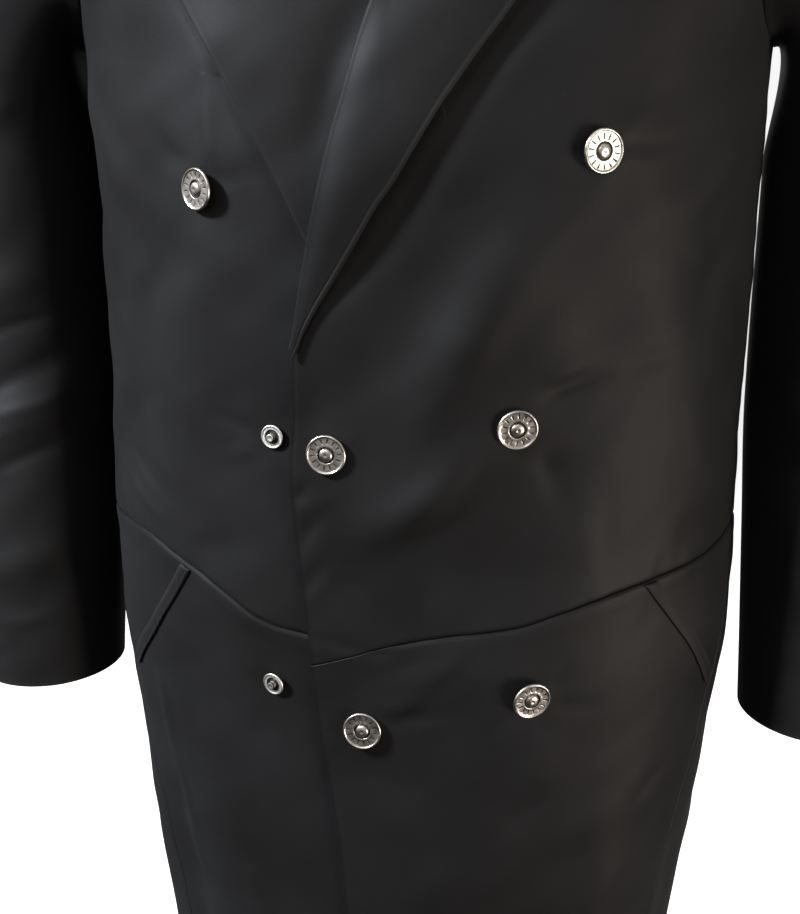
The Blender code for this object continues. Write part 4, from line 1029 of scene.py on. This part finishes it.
# Snaps
CAP_PROFILE = (
    (3.4, -1.2), (3.4, 0.05), (8.6, 0.0), (9.8, 0.05), (10.5, 0.3), (10.95, 0.75), (11.1, 1.25),
    (11.0, 1.75), (10.75, 2.12), (10.4, 2.3), (10.05, 2.25), (9.8, 2.02), (9.62, 1.84),
    (9.2, 1.78), (8.75, 1.77), (8.6, 1.77), (7.5, 1.74), (6.4, 1.71), (6.25, 1.71),
    (5.5, 1.72), (4.95, 1.8), (4.7, 1.7), (4.55, 1.35), (4.35, 1.1), (4.1, 1.05),
    (3.9, 1.15), (3.7, 1.5), (3.55, 1.95), (3.2, 2.35), (2.65, 2.62), (2.0, 2.8),
    (1.35, 2.9), (0.9, 2.88), (0.55, 2.78), (0.2, 2.72))
STUD_PROFILE = (
    (3.4, -1.2), (3.4, 0.0), (6.0, 0.0), (6.45, 0.15), (6.68, 0.5), (6.7, 0.85), (6.5, 1.15),
    (6.2, 1.28), (5.9, 1.22), (5.7, 1.08), (5.5, 1.06), (4.7, 1.02), (4.5, 1.02),
    (4.2, 0.95), (3.4, 0.8), (2.5, 0.82), (2.2, 0.95), (2.05, 1.3), (2.0, 1.9),
    (2.12, 2.6), (2.3, 3.0), (2.28, 3.3), (2.05, 3.52), (1.7, 3.6), (1.3, 3.58),
    (0.9, 3.45), (0.4, 3.4))
DASHES = 14
TURNED = 168
SUNK = 0.16               # depth of the dashes and of the knurls
DASH_SPAN = (6.3, 8.7)    # radii between which the cap's dashes are sunk
KNURL_SPAN = (4.6, 5.6)   # radii of the stud's knurled ring
WELL_SPAN = (3.9, 4.7)    # radii of the ring of painted shade round the cap's dome
STUD_WELL = (2.1, 4.55)
CAP_RIM = 9.6             # radius at which a leaning cap's rim must clear the cloth
STUD_RIM = 6.2
FACE = 12                 # a profile's face starts after this point


def place(a, v, on_left):
    """Seat of a snap on the solid cloth, and the way it faces."""
    off = lay(a, v, 1.0 if on_left else -1.0) + WALL
    spots = put_solid(np.array([a, a, a, a - 3.0, a + 3.0]),
                      np.array([v, v - 8.0, v + 8.0, v, v]), np.full(5, float(off)))
    n = unit(np.cross(spots[2] - spots[1], spots[4] - spots[3]))
    return spots[0], n * np.sign(np.dot(n, normal(a, v)))


def snap_axis(n, lean_x, lean_down):
    """The way a snap faces, leaning toward +X and down from the cloth's normal."""
    side = unit(np.array([-n[1], n[0], 0.0]))
    side = side * np.sign(side[0])
    down = np.cross(side, n)
    down = down * np.sign(-down[2])
    return unit(n + side * np.tan(np.radians(lean_x)) + down * np.tan(np.radians(lean_down)))


def snap(node, profile, a, v, lean_x, lean_down, turned_by, on_left, metals, cap):
    """Turned cap or stud, its dashes or knurls sunk into the turned faces."""
    p, n = place(a, v, on_left)
    axis = snap_axis(n, lean_x, lean_down)
    tilt = np.radians(np.hypot(lean_x, lean_down))
    lift = SEAT + 0.15 + (CAP_RIM if cap else STUD_RIM) * np.sin(tilt)
    centre = p + n * lift
    across = unit(np.cross(axis, [0.0, 0.0, 1.0]))
    up = np.cross(across, axis)
    rings = np.array(profile)
    rings[0, 1] = SEAT + SHANK_R * np.sin(tilt) - lift - 0.5
    k = np.arange(TURNED)
    angle = 2.0 * np.pi * k / TURNED + np.radians(turned_by)
    r = np.repeat(rings[:, :1], TURNED, 1)
    h = np.repeat(rings[:, 1:], TURNED, 1)
    pitch = TURNED // DASHES
    lo, hi = DASH_SPAN if cap else KNURL_SPAN
    cuts = np.isin(k % pitch, (1, 2)) if cap else (k % 4) < 2
    h = h - SUNK * ((r > lo) & (r < hi) & cuts[None, :])
    verts = (centre + axis * h[..., None]
             + across * (r * np.cos(angle))[..., None] + up * (r * np.sin(angle))[..., None])
    verts = np.concatenate([verts.reshape(-1, 3), [centre + axis * (rings[0, 1])],
                            [centre + axis * (rings[-1, 1] - 0.01)]])
    # one band of faces between each pair of rings; metal 1, near black, paints shade in the well, 2
    # the dashes
    bands = np.arange(len(rings) - 1)
    after = (k + 1) % TURNED
    row = bands[:, None] * TURNED
    faces = np.stack([row + k, row + after, row + TURNED + after, row + TURNED + k], -1)
    mid_r = 0.5 * (rings[:-1, 0] + rings[1:, 0])
    well = WELL_SPAN if cap else STUD_WELL
    in_well = (bands > FACE) & (well[0] < mid_r) & (mid_r < well[1])
    dashed = (bands > FACE - 2) & (lo - 0.05 < mid_r) & (mid_r < hi + 0.05) & cap
    metal_of = 2 * (dashed[:, None] & (k % pitch < 3)[None, :])
    metal_of[in_well] = 1
    base = len(rings) * TURNED
    last = base - TURNED
    ends = []
    for j, m in zip(k.tolist(), after.tolist()):
        ends.append((base, m, j))
        ends.append((base + 1, last + j, last + m))
    mesh = bpy.data.meshes.new(node + "_metal")
    mesh.from_pydata((verts * MM).tolist(), [], faces.reshape(-1, 4).tolist() + ends)
    mesh.polygons.foreach_set("material_index", metal_of.ravel().tolist() + [0] * len(ends))
    mesh.polygons.foreach_set("use_smooth", [True] * len(mesh.polygons))
    mesh.set_sharp_from_angle(angle=np.radians(50.0))
    for metal in metals:
        mesh.materials.append(metal)
    mesh.update()
    return new_object(node + "_metal", mesh)


# Materials
CLOTH_DARK = np.array([0.0085, 0.0080, 0.0079])
CLOTH_PALE = np.array([0.0118, 0.0114, 0.0117])
LINT = (0.11, 0.105, 0.10, 1.0)
RUBBED = (0.045, 0.043, 0.042, 1.0)
# colour of the painted shadow line along sewn and turned edges
PAINTED_EDGE_SHADOW = (0.0015, 0.0014, 0.0013, 1.0)
WHITE = (1.0, 1.0, 1.0, 1.0)


def new_material(name):
    mat = bpy.data.materials.new(name)
    mat.use_nodes = True
    return mat, mat.node_tree, mat.node_tree.nodes["Principled BSDF"]


def feed(tree, node, inputs):
    """Sets a node's inputs, each by a value or by another node's output."""
    for name, value in inputs.items():
        if isinstance(value, bpy.types.NodeSocket):
            tree.links.new(value, node.inputs[name])
        else:
            node.inputs[name].default_value = value


def add(tree, kind, inputs, **settings):
    """Outputs of a new shader node."""
    node = tree.nodes.new("ShaderNode" + kind)
    for name, value in settings.items():
        setattr(node, name, value)
    feed(tree, node, inputs)
    return node.outputs


def ramp(tree, value, low, high, low_value, high_value):
    return add(tree, "MapRange", {
        "Value": value, "From Min": low, "From Max": high,
        "To Min": low_value, "To Max": high_value})["Result"]


def noise(tree, where, scale, detail):
    return add(tree, "TexNoise", {"Vector": where, "Scale": scale, "Detail": detail})["Fac"]


def mix(tree, factor, first, second):
    inputs = {"Factor": factor, "A": first, "B": second}
    return add(tree, "Mix", inputs, data_type="RGBA")["Result"]


def times(tree, first, second):
    return add(tree, "Math", {0: first, 1: second}, operation="MULTIPLY")["Value"]


def bump(tree, height, strength, distance, **under):
    return add(tree, "Bump", {
        "Height": height, "Strength": strength, "Distance": distance, **under})["Normal"]


def opaque(colour):
    return (*[float(c) for c in colour], 1.0)


def cloth_material(name, depth):
    """Smooth tightly woven black cloth with a soft sheen; a depth below one gives a darker copy,
    painted shade.
    """
    mat, tree, shader = new_material(name)
    place_on = add(tree, "TexCoord", {})
    broad = noise(tree, place_on["Object"], 13.0, 4.0)
    patches = ramp(tree, broad, 0.35, 0.65, 0.0, 1.0)
    tone = mix(tree, patches, opaque(CLOTH_DARK * depth), opaque(CLOTH_PALE * depth))
    # lint: one speck in a few of the cells
    cells = add(tree, "TexVoronoi", {"Vector": place_on["Object"], "Scale": 150.0})
    red = add(tree, "SeparateColor", {"Color": cells["Color"]})["Red"]
    speck = ramp(tree, cells["Distance"], 0.020, 0.045, 1.0, 0.0)
    chosen = ramp(tree, red, 0.80, 0.82, 0.0, 0.55)
    tone = mix(tree, times(tree, speck, chosen), tone, LINT)
    # rubbing greys an edge a little, and a painted shadow line darkens a sewn or turned edge
    worn = add(tree, "Attribute", {}, attribute_name="wear_and_shade")["Fac"]
    tone = mix(tree, times(tree, worn, 0.55), tone, RUBBED)
    tone = mix(tree, times(tree, worn, -1.0), tone, PAINTED_EDGE_SHADOW)
    # weave: diagonal rib over fine grain
    slant = add(tree, "Mapping", {"Vector": place_on["UV"], "Rotation": (0.0, 0.0, 0.9)})
    twill = add(tree, "TexWave", {
        "Vector": slant["Vector"], "Scale": 560.0, "Distortion": 1.2, "Detail": 1.0})["Fac"]
    rib = bump(tree, twill, 0.12, 0.0001)
    grain = noise(tree, place_on["Object"], 850.0, 3.0)
    feed(tree, shader, {
        "Base Color": tone,
        "Roughness": ramp(tree, broad, 0.3, 0.7, 0.50, 0.58),
        "Normal": bump(tree, grain, 0.22, 0.0002, Normal=rib),
        "Specular IOR Level": 0.11,
        "Sheen Weight": 0.04,
        "Sheen Roughness": 0.4,
        "Sheen Tint": (0.92, 0.94, 1.0, 1.0)})
    return mat


def metal_material(name, light, dark, roughness):
    """Turned nickel, darker in patches, with fine turning marks."""
    mat, tree, shader = new_material(name)
    where = add(tree, "TexCoord", {})["Object"]
    patch = noise(tree, where, 260.0, 5.0)
    scratch = noise(tree, where, 2600.0, 2.0)
    patches = ramp(tree, patch, 0.3, 0.7, 0.0, 1.0)
    feed(tree, shader, {
        "Base Color": mix(tree, patches, opaque(dark), opaque(light)),
        "Roughness": ramp(tree, patch, 0.3, 0.7, roughness, roughness + 0.10),
        "Normal": bump(tree, scratch, 0.10, 0.00006),
        "Metallic": 1.0})
    return mat


# Stage, light and camera
CAMERA_AT = (0.0992, -0.7535, -0.274)
CAMERA_TURN = 8.6       # heading, degrees toward -X
CAMERA_DIP = 15.7       # degrees below level
CAMERA_LENS = 47.66     # on the 36 mm long side of the frame
FLOOR = -1.46
FLOOR_REACH = 14.0
MIDDLE = (0.0, 0.0, -0.45)
# Area lights: name, place, aim, size, watts, colour
LIGHTS = (
    ("key_left", (-1.8, -1.08, 1.0), MIDDLE, (0.40, 0.40), 156.0, (0.86, 0.92, 1.0)),
    ("key_right", (1.9, -1.05, -1.05), (0.0, 0.0, -0.65), (0.8, 1.0), 46.0, (1.0, 0.90, 0.82)),
    ("front", (-0.5, -2.2, 1.1), MIDDLE, (1.2, 1.0), 11.0, (1.0, 0.99, 0.98)),
    ("top", (0.0, 0.0, 2.4), (0.0, 0.0, 0.0), (1.6, 1.6), 20.0, (1.0, 1.0, 1.0)),
    ("back_left", (-1.3, 1.8, 0.6), MIDDLE, (1.2, 1.4), 45.0, (1.0, 1.0, 1.0)),
    ("back_right", (1.4, 1.7, 0.5), MIDDLE, (1.2, 1.4), 45.0, (1.0, 1.0, 1.0)),
)


def place_and_aim(ob, at, way):
    ob.location = at
    ob.rotation_mode = "QUATERNION"
    ob.rotation_quaternion = way.to_track_quat("-Z", "Y")


def area_light(name, at, aim, size, power, colour):
    data = bpy.data.lights.new(name, "AREA")
    data.shape = "RECTANGLE"
    data.size = size[0]
    data.size_y = size[1]
    data.energy = power
    data.color = colour
    place_and_aim(new_object(name, data), at, Vector(aim) - Vector(at))


def pale_floor():
    mesh = bpy.data.meshes.new("studio_floor")
    corners = [(x * FLOOR_REACH, y * FLOOR_REACH, FLOOR)
               for x, y in ((-1.0, -1.0), (1.0, -1.0), (1.0, 1.0), (-1.0, 1.0))]
    mesh.from_pydata(corners, [], [(0, 1, 2, 3)])
    floor = new_object("studio_floor", mesh)
    mat, tree, shader = new_material("pale_floor")
    feed(tree, shader, {
        "Base Color": (0.60, 0.60, 0.60, 1.0), "Roughness": 0.9,
        "Emission Color": WHITE, "Emission Strength": 0.72})
    mesh.materials.append(mat)
    # the pale floor stands for a far white ground, which throws no light up at black cloth
    floor.visible_diffuse = False
    floor.visible_glossy = False


def pale_room():
    """White to the camera, dim to the cloth. Metal mirrors it pale above, dark below."""
    world = bpy.data.worlds.new("pale_room")
    world.use_nodes = True
    tree = world.node_tree
    dim = tree.nodes["Background"]
    feed(tree, dim, {"Color": WHITE, "Strength": 0.045})
    seen = add(tree, "Background", {"Color": WHITE, "Strength": 0.93})
    ray = add(tree, "LightPath", {})
    axes = add(tree, "SeparateXYZ", {"Vector": add(tree, "TexCoord", {})["Generated"]})
    mirror = add(tree, "Background", {
        "Color": (1.0, 0.97, 0.93, 1.0),
        "Strength": ramp(tree, axes["Z"], -0.48, 0.10, 0.04, 0.62)})
    unseen = add(tree, "MixShader", {
        "Fac": ray["Is Glossy Ray"], 1: dim.outputs["Background"], 2: mirror["Background"]})
    whole = add(tree, "MixShader", {
        "Fac": ray["Is Camera Ray"], 1: unseen["Shader"], 2: seen["Background"]})
    feed(tree, tree.nodes["World Output"], {"Surface": whole["Shader"]})
    bpy.context.scene.world = world


def studio():
    pale_floor()
    pale_room()
    for light in LIGHTS:
        area_light(*light)


def camera():
    data = bpy.data.cameras.new("photo_camera")
    data.lens = CAMERA_LENS
    data.sensor_width = 36.0
    data.clip_start = 0.02
    ob = new_object("photo_camera", data)
    turn = np.radians(CAMERA_TURN)
    dip = np.radians(CAMERA_DIP)
    way = Vector((-np.sin(turn) * np.cos(dip), np.cos(turn) * np.cos(dip), -np.sin(dip)))
    place_and_aim(ob, CAMERA_AT, way)
    bpy.context.scene.camera = ob


# The whole coat
def dress_cloth():
    """Makes every piece of cloth, hangs it from the root and hides the imported part it replaces.
    """
    black = cloth_material("coat_cloth", 1.0)
    # the left lapel gets a darker copy of the same cloth: painted shade
    painted_shade_lapel = cloth_material("painted_shade_lapel_cloth", 0.7)
    pieces = (
        front_upper("left_front_upper", 1.0, LEFT_EDGE, LEFT_WAIST, LEFT_SIDE, black),
        front_upper("right_front_upper", -1.0, RIGHT_EDGE, RIGHT_WAIST, RIGHT_SIDE, black),
        front_skirt("left_front_skirt", 1.0, LEFT_EDGE, LEFT_WAIST, LEFT_SIDE, black),
        front_skirt("right_front_skirt", -1.0, RIGHT_EDGE, RIGHT_WAIST, RIGHT_SIDE, black),
        back_upper("back_upper", black),
        back_skirt("back_skirt", black),
        lapel("left_lapel", 1.0, LEFT_EDGE, LEFT_LAPEL, 2.6, painted_shade_lapel),
        lapel("right_lapel", -1.0, RIGHT_EDGE, RIGHT_LAPEL, 3.5, black),
        collar("collar", black),
        sleeve("left_sleeve", 1.0, black),
        sleeve("right_sleeve", -1.0, black),
        welt("left_pocket_welt", 1.0, LEFT_WELT_OUT, LEFT_WELT_IN, black),
        welt("right_pocket_welt", -1.0, RIGHT_WELT_OUT, RIGHT_WELT_IN, black),
    )
    for (node, (width, length, share, carriers)), piece in zip(CUT.items(), pieces):
        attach(piece, "root")
        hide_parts(node)
        [carrier + "_cloth" for carrier in carriers]


def dress_metal():
    """Makes the snaps."""
    plated = metal_material("snap_nickel", (0.60, 0.565, 0.52), (0.40, 0.37, 0.335), 0.26)
    # near black metal, painted shade in the wells round the cap's dome and the stud's post
    sunk = metal_material("snap_recess_painted_shade", (0.05, 0.047, 0.044), (0.02, 0.019, 0.018), 0.45)
    etched = metal_material("snap_dash", (0.12, 0.11, 0.10), (0.06, 0.055, 0.05), 0.42)
    # the studs' nickel is a paler copy of the caps' nickel: painted light, so they look brightly
    # lit
    painted_light_nickel = metal_material("stud_nickel_painted_light", (0.96, 0.94, 0.90), (0.84, 0.81, 0.77), 0.34)
    for node, *seat in CAPS + STUDS:
        cap = node.startswith("snap_cap")
        profile = CAP_PROFILE if cap else STUD_PROFILE
        metals = (plated, sunk, etched) if cap else (painted_light_nickel, sunk)
        piece = snap(node, profile, *seat, cap and seat[0] > ON_RIGHT, metals, cap)
        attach(piece, "root")
        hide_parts(node)


dress_cloth()
dress_metal()
studio()
camera()
bpy.context.scene.view_settings.view_transform = "Standard"
